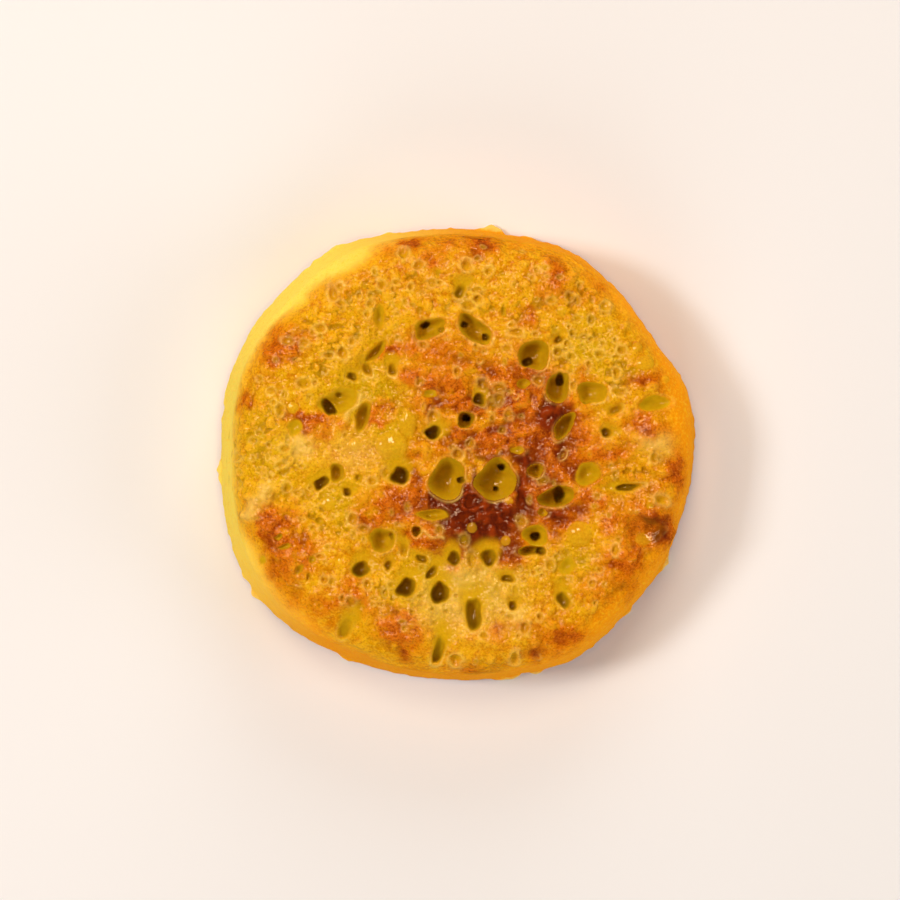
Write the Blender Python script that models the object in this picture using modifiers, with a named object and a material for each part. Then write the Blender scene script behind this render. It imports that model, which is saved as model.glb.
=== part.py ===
"""A small round honeycomb cake, one solid: a turned disc of baked batter with a drafted side, a rounded
shoulder, an uneven outline with torn flecks at its widest edge, toasted swellings on top, and the open cells
and deep shafts of its honeycomb sunk into the top. Sizes are in millimetres until they reach the mesh."""

import math
from typing import NamedTuple

import bmesh
import bpy
import numpy as np
from mathutils import Matrix, Vector

MM = 0.001

# ---- driving sizes ------------------------------------------------------------------------------------
EDGE_RADIUS = 45.6  # mean radius of the widest edge, at the base
HEIGHT = 20.6  # flat base to the crown of the shoulder
BASE_ROUND = 1.3  # rounding between base and side
WALL_TOP = 12.5  # height at which the side turns into the shoulder
WALL_DRAFT = 1.8  # how far the side leans in up to there
SHOULDER_REACH = 8.2  # how far the shoulder runs in before it is level
SUNKEN_CENTRE = 1.5  # how far the middle lies below the crown
TOP_SHIFT = 1.2  # the top sits this far towards +X, so the left side shows wider
TURN_STEPS = 108
SHOULDER_STEPS = 5
WALL_HEIGHTS = (3.0, 8.0)
TOP_RING_COUNT = 9  # rings of points between the middle of the top and the shoulder
CELL_SIDES = 12
SHAFT_SIDES = 8

# Radius of the widest edge every 15 degrees, counter-clockwise from +X.
EDGE_RADII = (
    46.4, 46.8, 44.5, 44.9, 45.2, 43.9, 43.8, 44.5,
    46.2, 46.2, 46.6, 46.5, 45.8, 46.7, 47.7, 47.2,
    45.4, 44.5, 44.3, 44.8, 46.3, 45.6, 45.8, 45.8,
)
FLECK_TOP = 2.6  # the torn flecks die away at this height


class Fleck(NamedTuple):
    """A torn flake (out > 0) or nick (out < 0) of the widest edge."""

    angle: float
    out: float
    half_width: float


FLECKS = (
    Fleck(11.7, -0.6, 0.8),
    Fleck(47.0, 0.4, 0.8),
    Fleck(71.5, 0.6, 1.2),
    Fleck(75.0, -0.9, 0.9),
    Fleck(81.0, 1.6, 1.9),
    Fleck(107.4, 0.6, 1.6),
    Fleck(120.5, 0.9, 1.4),
    Fleck(126.1, 0.5, 0.8),
    Fleck(184.1, 1.3, 1.7),
    Fleck(194.3, -0.7, 0.9),
    Fleck(210.0, 0.6, 0.9),
    Fleck(215.4, 0.9, 1.2),
    Fleck(241.6, 0.6, 1.0),
    Fleck(283.5, 0.8, 2.4),
    Fleck(287.2, -0.7, 0.8),
    Fleck(290.0, 0.9, 1.0),
    Fleck(317.5, 0.5, 1.2),
    Fleck(322.0, -0.6, 1.0),
    Fleck(332.5, 1.1, 1.6),
)


class Swell(NamedTuple):
    """A toasted blister of the top (rise > 0) or a sunken patch (rise < 0)."""

    x: float
    y: float
    half_x: float
    half_y: float
    rise: float


SWELLS = (
    Swell(-9.1, 38.5, 4.5, 3.2, 0.5),
    Swell(6.1, 38.2, 3.5, 2.8, 0.5),
    Swell(17.9, 33.0, 3.0, 4.0, 0.4),
    Swell(-35.5, 18.5, 4.5, 3.8, 0.7),
    Swell(-39.5, 9.5, 3.5, 3.0, 0.5),
    Swell(-26.0, 4.6, 4.5, 2.4, 0.9),
    Swell(-29.0, -1.5, 4.0, 3.2, 0.6),
    Swell(-35.3, -13.0, 4.0, 3.5, 0.5),
    Swell(-31.0, -19.5, 4.0, 3.5, 0.4),
    Swell(-11.5, 17.0, 4.5, 2.5, 0.6),
    Swell(1.5, 19.5, 5.0, 3.2, 0.8),
    Swell(-1.0, 14.0, 6.0, 3.5, 0.5),
    Swell(9.5, 10.5, 4.5, 4.5, 0.6),
    Swell(17.0, 6.8, 3.0, 2.4, 0.6),
    Swell(12.5, 1.0, 4.0, 3.5, 0.6),
    Swell(25.5, 1.0, 4.0, 2.0, 0.6),
    Swell(-12.2, 1.4, 3.2, 3.0, 0.5),
    Swell(5.0, -11.5, 8.0, 2.6, 0.7),
    Swell(12.0, -15.5, 3.0, 4.0, 0.6),
    Swell(23.4, -15.3, 2.8, 2.6, 0.6),
    Swell(36.0, 14.0, 3.5, 3.5, 0.5),
    Swell(36.5, 3.0, 5.0, 3.5, 0.6),
    Swell(38.0, -9.5, 4.0, 3.5, 0.7),
    Swell(31.5, -19.5, 4.0, 3.0, 0.6),
    Swell(21.0, -34.0, 4.5, 3.5, 0.6),
    Swell(-9.7, -31.5, 4.5, 3.0, 0.6),
    Swell(-18.5, -27.5, 3.5, 3.0, 0.5),
    Swell(8.0, -36.0, 5.0, 3.0, 0.5),
    Swell(-17.5, 10.0, 9.0, 9.0, -0.7),
    Swell(0.0, -23.0, 16.0, 6.0, -0.7),
    Swell(27.0, -6.0, 7.0, 6.0, -0.4),
)
BROAD_WAVE = 0.35  # height of the top's slow, wide unevenness
BROAD_LENGTH = 27.0  # and its wavelength


class Well(NamedTuple):
    """An open cell or shaft: its middle, half sizes, the turn of its long axis from +X, and depth."""

    x: float
    y: float
    long: float
    wide: float
    turn: float
    depth: float


# Wide cells, whose smooth walls curve down to a round floor.
BOWLS = (
    Well(7.5, -5.2, 4.3, 3.5, 30, 5.0),
    Well(-1.7, -5.0, 3.9, 3.4, 85, 4.8),
    Well(14.8, 18.7, 3.1, 2.8, 60, 4.6),
    Well(19.3, 12.4, 3.1, 2.1, 72, 4.4),
    Well(25.8, 11.5, 3.0, 2.1, 10, 2.8),
    Well(-5.1, 23.7, 3.2, 1.8, 15, 3.4),
    Well(3.5, 23.5, 4.1, 1.9, -38, 3.8),
    Well(19.1, -8.3, 3.3, 2.0, 15, 4.4),
    Well(25.0, -3.9, 2.4, 2.2, 60, 2.4),
    Well(37.6, 9.5, 3.2, 1.5, 12, 1.8),
    Well(-22.4, 9.9, 3.6, 2.3, 15, 2.6),
    Well(-17.8, 7.0, 3.0, 1.25, 70, 3.2),
    Well(20.6, 5.2, 3.1, 1.35, 58, 4.2),
    Well(-14.1, -16.6, 2.5, 2.3, 60, 3.4),
    Well(15.1, -15.7, 2.3, 2.2, 0, 2.6),
    Well(34.5, -14.7, 3.6, 2.9, -10, 2.2),
    Well(-4.5, -11.7, 3.3, 0.95, 0, 2.2),
    Well(14.2, -18.5, 2.5, 0.9, 0, 3.6),
    Well(1.8, 6.3, 1.65, 1.5, 90, 4.0),
    Well(15.1, -3.3, 1.5, 1.4, 0, 3.2),
    Well(-15.4, 19.2, 2.8, 0.9, 42, 2.6),
    Well(-14.6, 26.0, 2.2, 1.0, 90, 1.6),
    Well(21.1, -21.5, 1.8, 1.5, 70, 1.4),
    Well(-22.7, -3.8, 1.9, 1.4, 80, 3.2),
    Well(-30.6, 4.9, 1.7, 1.4, 35, 1.2),
)

# Narrow shafts, nearly straight, that run down towards the base.
SHAFTS = (
    Well(-4.3, 4.0, 1.6, 1.4, 15, 11.0),
    Well(1.9, 6.7, 1.0, 0.8, -30, 11.0),
    Well(4.4, 10.4, 1.35, 1.2, 70, 9.0),
    Well(-10.7, -4.2, 1.9, 1.75, -20, 7.0),
    Well(0.7, -5.1, 0.95, 0.75, 20, 10.0),
    Well(8.6, -2.7, 0.95, 0.9, 0, 10.0),
    Well(7.6, -6.8, 0.75, 0.75, 0, 10.0),
    Well(13.7, 17.5, 1.6, 1.3, 10, 9.5),
    Well(19.7, 13.8, 1.5, 1.0, 80, 9.5),
    Well(19.4, 21.6, 0.95, 0.75, 50, 8.0),
    Well(-5.9, 24.4, 1.3, 0.75, 30, 8.5),
    Well(1.6, 24.5, 0.9, 0.75, -35, 8.5),
    Well(5.5, 22.2, 0.95, 0.75, -60, 8.5),
    Well(0.8, 31.0, 1.6, 1.05, 70, 6.0),
    Well(-24.3, 8.8, 1.9, 1.2, 125, 9.0),
    Well(-19.8, 14.7, 1.25, 0.85, -15, 8.0),
    Well(-17.0, 16.0, 1.5, 0.75, 112, 7.0),
    Well(-12.2, 16.1, 1.4, 0.85, 100, 6.5),
    Well(-25.7, -5.6, 1.65, 1.2, 35, 9.0),
    Well(-20.7, -7.3, 1.0, 0.9, 110, 8.0),
    Well(28.6, 4.0, 1.25, 0.95, 0, 8.0),
    Well(30.2, 8.2, 1.35, 0.8, 20, 6.5),
    Well(32.4, -6.5, 2.3, 0.75, 3, 6.0),
    Well(19.4, -8.1, 1.5, 1.15, 90, 10.0),
    Well(15.1, -15.9, 1.15, 1.05, 0, 9.5),
    Well(16.0, -18.6, 1.0, 0.8, 0, 8.5),
    Well(-18.1, -22.0, 1.95, 1.5, 15, 8.0),
    Well(-12.9, -21.3, 1.05, 0.75, 70, 8.0),
    Well(-6.6, -20.1, 1.3, 0.75, -20, 8.5),
    Well(-10.0, -18.2, 1.5, 0.75, 90, 5.0),
    Well(-9.5, -25.5, 2.25, 1.65, 60, 9.0),
    Well(-3.1, -26.5, 2.4, 1.7, 80, 9.0),
    Well(-4.5, -22.5, 1.7, 1.0, 50, 7.0),
    Well(-0.5, -19.9, 1.5, 1.35, 90, 7.5),
    Well(6.2, -19.7, 1.75, 1.65, 60, 6.5),
    Well(3.3, -30.3, 3.2, 1.75, 95, 8.5),
    Well(-3.2, -37.0, 2.9, 1.2, 75, 6.0),
    Well(10.8, -28.9, 1.1, 0.85, 105, 8.0),
    Well(9.7, -23.8, 1.3, 0.85, 0, 8.0),
    Well(20.3, -27.8, 1.8, 1.3, 118, 6.5),
    Well(-21.0, -33.0, 2.4, 1.25, 60, 4.0),
)
SHAFT_TAPER = 0.8  # a shaft's width at its floor over its width at the top
CUTTER_RISE = 4.0  # how far a cutter stands above the top

BATTER_YELLOW = (0.87, 0.42, 0.03, 1.0)
CRUST_ROUGHNESS = 0.55


# ---- the turned disc ----------------------------------------------------------------------------------
def half_profile():
    """Radius and height down the cake's outer side, from the middle of its top to the middle of its base."""
    wall_radius = EDGE_RADIUS - WALL_DRAFT
    level_radius = wall_radius - SHOULDER_REACH
    points = []
    for ring in range(TOP_RING_COUNT):
        share = ring / TOP_RING_COUNT
        points.append((level_radius * share, HEIGHT - SUNKEN_CENTRE * (1 - share**2)))
    for step in range(SHOULDER_STEPS + 1):
        turn = math.pi / 2 * step / SHOULDER_STEPS
        points.append(
            (
                level_radius + SHOULDER_REACH * math.sin(turn),
                WALL_TOP + (HEIGHT - WALL_TOP) * math.cos(turn),
            )
        )
    for height in reversed(WALL_HEIGHTS):
        points.append((EDGE_RADIUS - WALL_DRAFT * height / WALL_TOP, height))
    points.append((EDGE_RADIUS, BASE_ROUND))
    points.append((EDGE_RADIUS - BASE_ROUND, 0.0))
    points.append((0.0, 0.0))
    return points


def turned_mesh(name, profile):
    """The closed mesh of a profile turned about Z by a Screw modifier, which is then applied."""
    outline = bmesh.new()
    verts = [outline.verts.new((radius, 0.0, height)) for radius, height in profile]
    for upper, lower in zip(verts, verts[1:]):
        outline.edges.new((upper, lower))
    curve = bpy.data.meshes.new(name + "_profile")
    outline.to_mesh(curve)
    outline.free()
    turned = bpy.data.objects.new(name + "_profile", curve)
    bpy.context.scene.collection.objects.link(turned)
    screw = turned.modifiers.new("turn", "SCREW")
    screw.steps = screw.render_steps = TURN_STEPS
    screw.use_merge_vertices = True
    screw.merge_threshold = 0.0001
    graph = bpy.context.evaluated_depsgraph_get()
    mesh = bpy.data.meshes.new_from_object(turned.evaluated_get(graph))
    mesh.name = name
    bpy.data.objects.remove(turned)
    return mesh


# ---- its unevenness -----------------------------------------------------------------------------------
def edge_radius(angle):
    """The widest edge's radius at each angle in degrees: a smooth curve through EDGE_RADII."""
    radii = np.array(EDGE_RADII)
    place = np.mod(angle, 360.0) / 360.0 * len(radii)
    first = np.floor(place).astype(int)
    t = place - first
    before, start, end, after = (radii[(first + k) % len(radii)] for k in (-1, 0, 1, 2))
    bend = 2 * before - 5 * start + 4 * end - after
    twist = 3 * (start - end) + after - before
    return start + 0.5 * t * (end - before + t * (bend + t * twist))


def fleck_reach(angle):
    """How far flecks and nicks move the widest edge at each angle."""
    reach = np.zeros_like(angle)
    for fleck in FLECKS:
        off = (angle - fleck.angle + 180.0) % 360.0 - 180.0
        along = np.radians(off) * EDGE_RADIUS
        near = np.clip(along / (2.0 * fleck.half_width), -1.0, 1.0)
        reach += fleck.out * 0.5 * (1.0 + np.cos(np.pi * near))
    return reach


def swelling(x, y):
    """How far the top rises or sinks at each place."""
    rise = BROAD_WAVE * np.sin(2 * np.pi * (x + 0.4 * y) / BROAD_LENGTH)
    rise = rise * np.cos(2 * np.pi * (y - 0.3 * x) / BROAD_LENGTH)
    for swell in SWELLS:
        spread = ((x - swell.x) / swell.half_x) ** 2 + ((y - swell.y) / swell.half_y) ** 2
        rise = rise + swell.rise * np.exp(-spread)
    return rise


def smooth_rise(low, high, value):
    t = np.clip((value - low) / (high - low), 0.0, 1.0)
    return t * t * (3 - 2 * t)


def baked(points):
    """The points of the true turned disc, moved to the cake's uneven form."""
    x, y, z = points.T
    radius = np.hypot(x, y)
    angle = np.degrees(np.arctan2(y, x))
    share = radius / EDGE_RADIUS
    scale = 1 + (edge_radius(angle) / EDGE_RADIUS - 1) * share**2
    out = fleck_reach(angle) * smooth_rise(0.9, 1.0, share) * (1 - smooth_rise(0.6, 1.0, z / FLECK_TOP))
    scale = scale + out / np.maximum(radius, 1.0)
    x, y = x * scale, y * scale
    x = x + TOP_SHIFT * smooth_rise(0.0, 1.0, z / HEIGHT)
    z = z + swelling(x, y) * smooth_rise(WALL_TOP, HEIGHT - 2.0, z)
    return np.stack([x, y, z], axis=1)


def box_middle(points):
    """The middle of the points' box, seen from above."""
    return (points[:, :2].min(axis=0) + points[:, :2].max(axis=0)) / 2


# ---- cells and shafts ---------------------------------------------------------------------------------
def top_height(well):
    """The top's height at a well, before it is cut."""
    radius = math.hypot(well.x, well.y)
    level_radius = EDGE_RADIUS - WALL_DRAFT - SHOULDER_REACH
    dish = SUNKEN_CENTRE * (1 - min(radius / level_radius, 1.0) ** 2)
    x, y = np.array([well.x]), np.array([well.y])
    return HEIGHT - dish + float(swelling(x, y)[0])


def cutter(name, well, taper, sides, collection, middle):
    """A round-bottomed cutter: an ellipsoid whose upper half is drawn out to above the top."""
    form = bmesh.new()
    bmesh.ops.create_uvsphere(form, u_segments=sides, v_segments=sides // 2, radius=1.0)
    floor_depth = min(well.depth, well.wide * 1.3)
    straight = well.depth - floor_depth
    for vert in form.verts:
        if vert.co.z > 0.01:
            vert.co.z = straight + CUTTER_RISE + vert.co.z
        else:
            vert.co.x *= taper
            vert.co.y *= taper
            vert.co.z *= floor_depth
    level = top_height(well) - straight
    place = Matrix.Translation(Vector((well.x - middle[0], well.y - middle[1], level)) * MM)
    turn = Matrix.Rotation(math.radians(well.turn), 4, "Z")
    size = Matrix.Diagonal(Vector((well.long * MM, well.wide * MM, MM, 1.0)))
    bmesh.ops.transform(form, matrix=place @ turn @ size, verts=form.verts)
    mesh = bpy.data.meshes.new(name)
    form.to_mesh(mesh)
    form.free()
    tool = bpy.data.objects.new(name, mesh)
    tool.hide_render = True
    tool.display_type = "WIRE"
    collection.objects.link(tool)


def cut_cells(cake, tools, middle):
    """Sinks every cell and shaft into the cake by one Boolean on their collection."""
    for number, well in enumerate(BOWLS):
        cutter(f"cell_{number:02d}", well, 1.0, CELL_SIDES, tools, middle)
    for number, well in enumerate(SHAFTS):
        cutter(f"shaft_{number:02d}", well, SHAFT_TAPER, SHAFT_SIDES, tools, middle)
    cut = cake.modifiers.new("cells", "BOOLEAN")
    cut.operation = "DIFFERENCE"
    cut.solver = "EXACT"
    cut.operand_type = "COLLECTION"
    cut.collection = tools


# ---- material, collections and the cake ---------------------------------------------------------------
def batter_material():
    material = bpy.data.materials.new("baked_batter")
    material.use_nodes = True
    shader = material.node_tree.nodes["Principled BSDF"]
    shader.inputs["Base Color"].default_value = BATTER_YELLOW
    shader.inputs["Roughness"].default_value = CRUST_ROUGHNESS
    shader.inputs["Metallic"].default_value = 0.0
    return material


def new_collection(name):
    collection = bpy.data.collections.new(name)
    bpy.context.scene.collection.children.link(collection)
    return collection


def main():
    for old in list(bpy.data.objects):
        bpy.data.objects.remove(old, do_unlink=True)
    mesh = turned_mesh("honeycomb_cake", [(r * MM, z * MM) for r, z in half_profile()])
    points = np.array([vert.co for vert in mesh.vertices]) / MM
    points = baked(points)
    middle = box_middle(points)
    points[:, :2] -= middle
    for vert, point in zip(mesh.vertices, points * MM):
        vert.co = point
    mesh.shade_smooth()
    mesh.materials.append(batter_material())
    cake = bpy.data.objects.new("honeycomb_cake", mesh)
    new_collection("honeycomb_cake").objects.link(cake)
    cut_cells(cake, new_collection("cutters"), middle)


main()
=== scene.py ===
import math
from types import SimpleNamespace
from typing import NamedTuple

import bmesh
import bpy
import numpy as np
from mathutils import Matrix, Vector


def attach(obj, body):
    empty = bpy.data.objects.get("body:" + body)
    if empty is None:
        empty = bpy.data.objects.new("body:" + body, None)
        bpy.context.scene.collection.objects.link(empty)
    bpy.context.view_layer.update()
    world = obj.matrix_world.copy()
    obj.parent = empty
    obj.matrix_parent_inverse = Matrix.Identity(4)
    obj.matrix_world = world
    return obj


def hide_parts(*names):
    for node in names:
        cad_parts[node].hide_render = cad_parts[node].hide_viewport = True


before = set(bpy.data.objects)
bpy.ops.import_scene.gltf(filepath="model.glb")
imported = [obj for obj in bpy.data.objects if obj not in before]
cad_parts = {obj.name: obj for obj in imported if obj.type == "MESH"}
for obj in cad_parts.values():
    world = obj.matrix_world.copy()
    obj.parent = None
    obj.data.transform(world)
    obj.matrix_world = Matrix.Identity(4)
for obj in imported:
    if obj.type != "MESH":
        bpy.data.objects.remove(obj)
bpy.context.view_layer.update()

# The looks of a small round honeycomb cake: its baked skin, froth, cells, caramel and torn edge.
# Sizes are in millimetres until they reach a mesh. Places are measured from the axis that the cake is turned
# about, which stands at TURNING_AXIS in the frame.
MM = 0.001
NODE = "honeycomb_cake"
TURNING_AXIS = (0.254, -0.097)

# ---- driving sizes, the same as the solid's
EDGE_RADIUS = 45.6  # mean radius of the widest edge, at the base
HEIGHT = 20.6  # flat base to the crown of the shoulder
BASE_ROUND = 1.3
WALL_TOP = 12.5  # height at which the side turns into the shoulder
WALL_DRAFT = 1.8
SHOULDER_REACH = 8.2
SUNKEN_CENTRE = 1.5
TOP_SHIFT = 1.2
LEVEL_RADIUS = EDGE_RADIUS - WALL_DRAFT - SHOULDER_REACH
EDGE_RADII = (
    46.4, 46.8, 44.5, 44.9, 45.2, 43.9, 43.8, 44.5, 46.2, 46.2, 46.6, 46.5,
    45.8, 46.7, 47.7, 47.2, 45.4, 44.5, 44.3, 44.8, 46.3, 45.6, 45.8, 45.8,
)
FLECK_TOP = 2.6
BROAD_WAVE = 0.35
BROAD_LENGTH = 27.0
BROAD_SLANTS = (0.4, 0.3)

# How far down a ball of batter, in degrees from its top, each stretch of the cake ends: the level top, the
# shoulder, the wall, the base's rounding and the flat base.
BALL_STOPS = (0.0, 88.0, 118.0, 139.0, 146.0, 180.0)

# ---- how fine the surface is
BALL_ROUNDS = 7
MOST_ROUNDS = 8
BUSY_EDGE = 0.54  # longest edge of a triangle among froth and crags
BUSY_BAND = (0.1, 0.6)
CALM_EDGE = 0.75  # on the smooth parts of the top
WALL_EDGE = 0.85  # on the walls of cells and shafts, from WALL_DEPTH down
WALL_DEPTH = 0.9
SIDE_EDGE = 1.25  # on the side, where less than SIDE_SHARE of the top's froth shows
SIDE_SHARE = 0.15
BASE_EDGE = 3.0
OUTLINE_EDGE = 0.38  # where the walls of open cells and shafts begin
TORN_EDGE = 0.6  # on the torn edge at the base
NARROWEST = 0.13  # no edge is cut that covers less than this of the unsunk top
SQUARE = 2.0  # side of the squares that the top's points are sorted into
CENTRE_GAP = 0.1  # bearings nearer to a middle than this count for less

# ---- the brim, the side and the torn edge
# Lumps are given by their share or height, their size and their seed. Bands run from none to all.
BRIM_START = 40.0  # the smooth brim begins this far out
WIDE_BRIM = 1.5  # and this much further in round WIDE_BEARING
WIDE_BEARING = 132.0
NARROW_BRIM = 2.4  # and this much further out round NARROW_BEARING, where froth nears the edge
NARROW_BEARING = 184.0
BRIM_SPREAD = 26.0
BRIM_SOFT = 4.0
BRIM_LUMPS = (1.5, 6.0, 12)
LIT_SIDE_BEARING = 160.0  # the brim and side show paler yellow round this bearing, painted light on the side that the lights come from, and toasted elsewhere
LIT_SIDE_BAND = (0.6, 0.95)
UNDERSIDE_TOAST = 0.55  # where the skin leans further under than UNDER_LEAN
UNDER_LEAN = -0.2
TOP_BEGINS = HEIGHT - 2.0  # froth and cells show fully from this height
SHEET_BEGINS = 0.02
SIDE_LUMPS = (0.16, 5.0, 4)
SIDE_GRAIN = (0.06, 1.6, 5)
SIDE_BEGINS = 0.3
FLAT_BELOW = 0.05
EDGE_BAND = (0.9, 1.0)  # shares of the radius
TORN_REACH = 0.28
TORN_LUMPS = (1.1, 6)
TORN_BAND = (1.2, 2.6)
UPRIGHT = 0.4  # the torn edge's lumps stand tall: heights count for this much among them
FLAKE_TOP = 1.7  # torn flakes are thinner than the solid's
FLAKE_BAND = (0.6, 1.0)
FLAKE_RAGGED = 0.5
FLAKE_LUMPS = (0.8, 13)
FLAKE_PALE = (0.1, 0.4)

# ---- froth: what belongs to one bubble or blister is a share of its radius
FROTH_SEED = 11
FROTH_THROWS = 6000
FROTH_REACH = 43.5
SMALL_BUBBLE = 0.45  # radius
LARGE_BUBBLE = 1.4
SMALLNESS = 1.8  # most bubbles are small
STRAYS = 0.12  # how many of the thrown bubbles stay where no froth lies
BRIM_OVERLAP = 0.5
WELL_GAP = 0.75
CROWDING = 0.74  # bubbles may press into one another this far
OPEN_SHARE = 0.22
BUBBLE_REACH = 1.6
BUBBLE_RAGGED = 0.26
SQUASH = 0.22  # at most, by turns of SQUASH_STEP from one bubble to the next
SQUASH_STEP = 3.7
MOOD_STEP = 0.618  # from one bubble to the next, in how bright its dome and how strong its crescent of painted shade are
DOME_RISE = 0.55
DOME_CURVE = 0.8
DULLEST_DOME = 0.35
CUP_DEPTH = 0.5
CUP_BAND = (1.0, 0.35)
CUP_SHOWN = 0.85
CUP_HOLLOW = 0.65
RING_RISE = 0.16
RING_WIDTH = 0.3
RING_SHOWN = 0.6
CRESCENT = (0.98, 0.15)  # where it lies and how wide it is
CRESCENT_SHOWN = (0.3, 0.5)  # at least, and at most so much more
CRESCENT_TURN = math.radians(-60.0)  # the side of most bubbles where a crescent of painted shade lies
CRESCENT_SPREAD = 4.0
CRESCENT_BAND = (0.0, 0.7)
GROOVE_DEPTH = 0.3
GAPS = ((1.0, 1.7, 24), (0.5, 0.8, 25))
GAP_BAND = (0.3, 0.6)
DOME_BAND = (0.2, 0.5)
FROTHY_BAND = (0.2, 0.6)
BLISTER_REACH = 1.3
BLISTER_EDGE = (1.05, 0.12)  # where its sunken edge lies and how wide it is
BLISTER_SINK = 0.35
FILM_BAND = (1.1, 0.8)
FILM_HIDES = {"toast": 0.7, "caramel": 0.35}

# ---- cells and shafts
OVAL_POWER = 2.3  # a little fuller than an ellipse
WELL_SEED = 5
WELL_MARGIN = 1.5
OUTLINE_WAVES = (0.07, 0.06, 0.045, 0.02)
RAGGED = 0.07
RAGGED_LUMPS = (1.0, 9)
WELL_EDGE_ROUND = 0.3
SOFT_EDGE_ROUND = 1.6
NARROW_ROUND = 0.4  # of a narrow well's half width, at most
BOWL_PAINTED_SHADE = 0.24  # painted shade in a bowl of DEEP_BOWL, darker towards its -X side
BOWL_BAND = (1.05, 0.3)
DEEP_BOWL = 5.0
BOWL_CURVE = 2.8
SOFT_CURVE = 1.7
SHAFT_WALL = 0.38  # share of a shaft's half width that its wall takes up
INNER_WALL = 0.35  # steeper, in a narrow slit and in a shaft inside a bowl
NARROW_SLIT = 0.8
SHAFT_SLANT = 0.6  # how much steeper the wall is on the side that the shaft runs to
SHAFT_REACH = 2.4  # light reaches this many half widths down a shaft of SHAFT_DEPTH
SHAFT_DEPTH = 9.0
SHAFT_BAND = (0.1, 1.0)
SHAFT_BEARING = 270.0  # most shafts run to this side as they go down
BEARING_SPREAD = 45.0
SKIRT_SIZE = 1.8  # a soft funnel round each deep shaft, on the side that it comes from
SKIRT_DEPTH = 1.0
SKIRT_LEAST = 3.5
SKIRT_LEAN = 0.35
SKIRT_CURVE = 1.5
SKIRT_OLIVE = 0.8
OLIVE_DEPTH = 0.8  # the depth at which a well's inside shows fully
OLIVE_COVERS = 1.3
INSIDE_BAND = (0.05, 0.8)
HOLLOW_BAND = (0.05, 0.5)
CALM_INSIDE = 0.93
OUTLINE_LEAST = 2.5
OUTLINE_PLACE = -0.15
OUTLINE_BAND = 0.4
EVEN_SHARE = 0.6  # how much of a lip's painted highlight or a shaft's painted shade shows all round, and the rest on one side
LIP_HIGHLIGHT_TURN = math.radians(-50.0)  # a painted highlight makes lips show most at the lower right of a cell
LIP = (0.2, 0.16)  # how far outside it lies and how wide it is
LIP_RISE = 0.15
LIP_DEPTH = 3.0  # shallower wells have fainter lips
LIP_PALE = 0.8
PATCHY_LUMPS = (2.7, 10)
PATCHY_BAND = (-0.7, 0.3)

# ---- the crust
TALLEST = 21.1  # crags above this height were pressed down
PRESSED = 0.6  # and none stands this much above it
CALMED = 0.75  # the brim and blisters are this much smoother
ROUGHNESS = ((0.3, 3.8, 1), (0.3, 1.6, 2), (0.14, 0.9, 3))
RELIEF_RANGE = 1.5
CRUST_WEB = 1.35
WEB = ((1.0, 2.4, 7), (0.6, 1.2, 8))
CRUMB_RISE = 0.7
CRUMBS = (1.6, 26)
CRUST_SINK = 0.5  # crags and crumbs lift about as much as this, which keeps their mean level
WINDOW_PALE = 0.75  # how far thin windows in the crust stayed untoasted
WINDOWS = ((1.0, 3.0, 27), (0.4, 1.5, 28))
WINDOW_BAND = (0.05, 0.4)
WANDER = (((1.0, 3.1, 20), (0.6, 1.3, 22)), ((1.0, 3.1, 21), (0.6, 1.3, 23)))  # along X and along Y
RIDGE_SWAY = 0.35
RIDGE_SWAY_STEP = 1.7
RIDGE_CARAMEL = 0.3


class Fleck(NamedTuple):
    """A torn flake (out > 0) or nick (out < 0) of the widest edge."""

    angle: float
    out: float
    half_width: float


class Patch(NamedTuple):
    """A soft oval patch of the top: a rise, a browning or a share of froth."""

    x: float
    y: float
    half_x: float
    half_y: float
    amount: float


class Well(NamedTuple):
    """An open cell or shaft: its middle, half sizes, the turn of its long axis from +X, its depth, how soft
    its brim is, and how far its inside shows olive."""

    x: float
    y: float
    long: float
    wide: float
    turn: float
    depth: float
    soft: float = 0.0
    olive: float = 1.0


class Bubble(NamedTuple):
    """A small bubble of the froth: a shut dome, or an open cup with a raised ring."""

    x: float
    y: float
    radius: float
    is_open: bool = True


class Ridge(NamedTuple):
    """A thin raised web from one place to another."""

    x: float
    y: float
    end_x: float
    end_y: float
    half_width: float
    rise: float


def rows(kind, *values):
    return tuple(kind(*each) for each in values)


FLECKS = rows(
    Fleck,
    (11.7, -0.6, 0.8), (47, 0.4, 0.8), (71.5, 0.6, 1.2), (75, -0.9, 0.9), (81, 1.6, 1.9), (107.4, 0.6, 1.6),
    (120.5, 0.9, 1.4), (126.1, 0.5, 0.8), (184.1, 1.3, 1.7), (194.3, -0.7, 0.9), (210, 0.6, 0.9),
    (215.4, 0.9, 1.2), (241.6, 0.6, 1), (283.5, 0.8, 2.4), (287.2, -0.7, 0.8), (290, 0.9, 1),
    (317.5, 0.5, 1.2), (322, -0.6, 1), (332.5, 1.1, 1.6),
)

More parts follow.
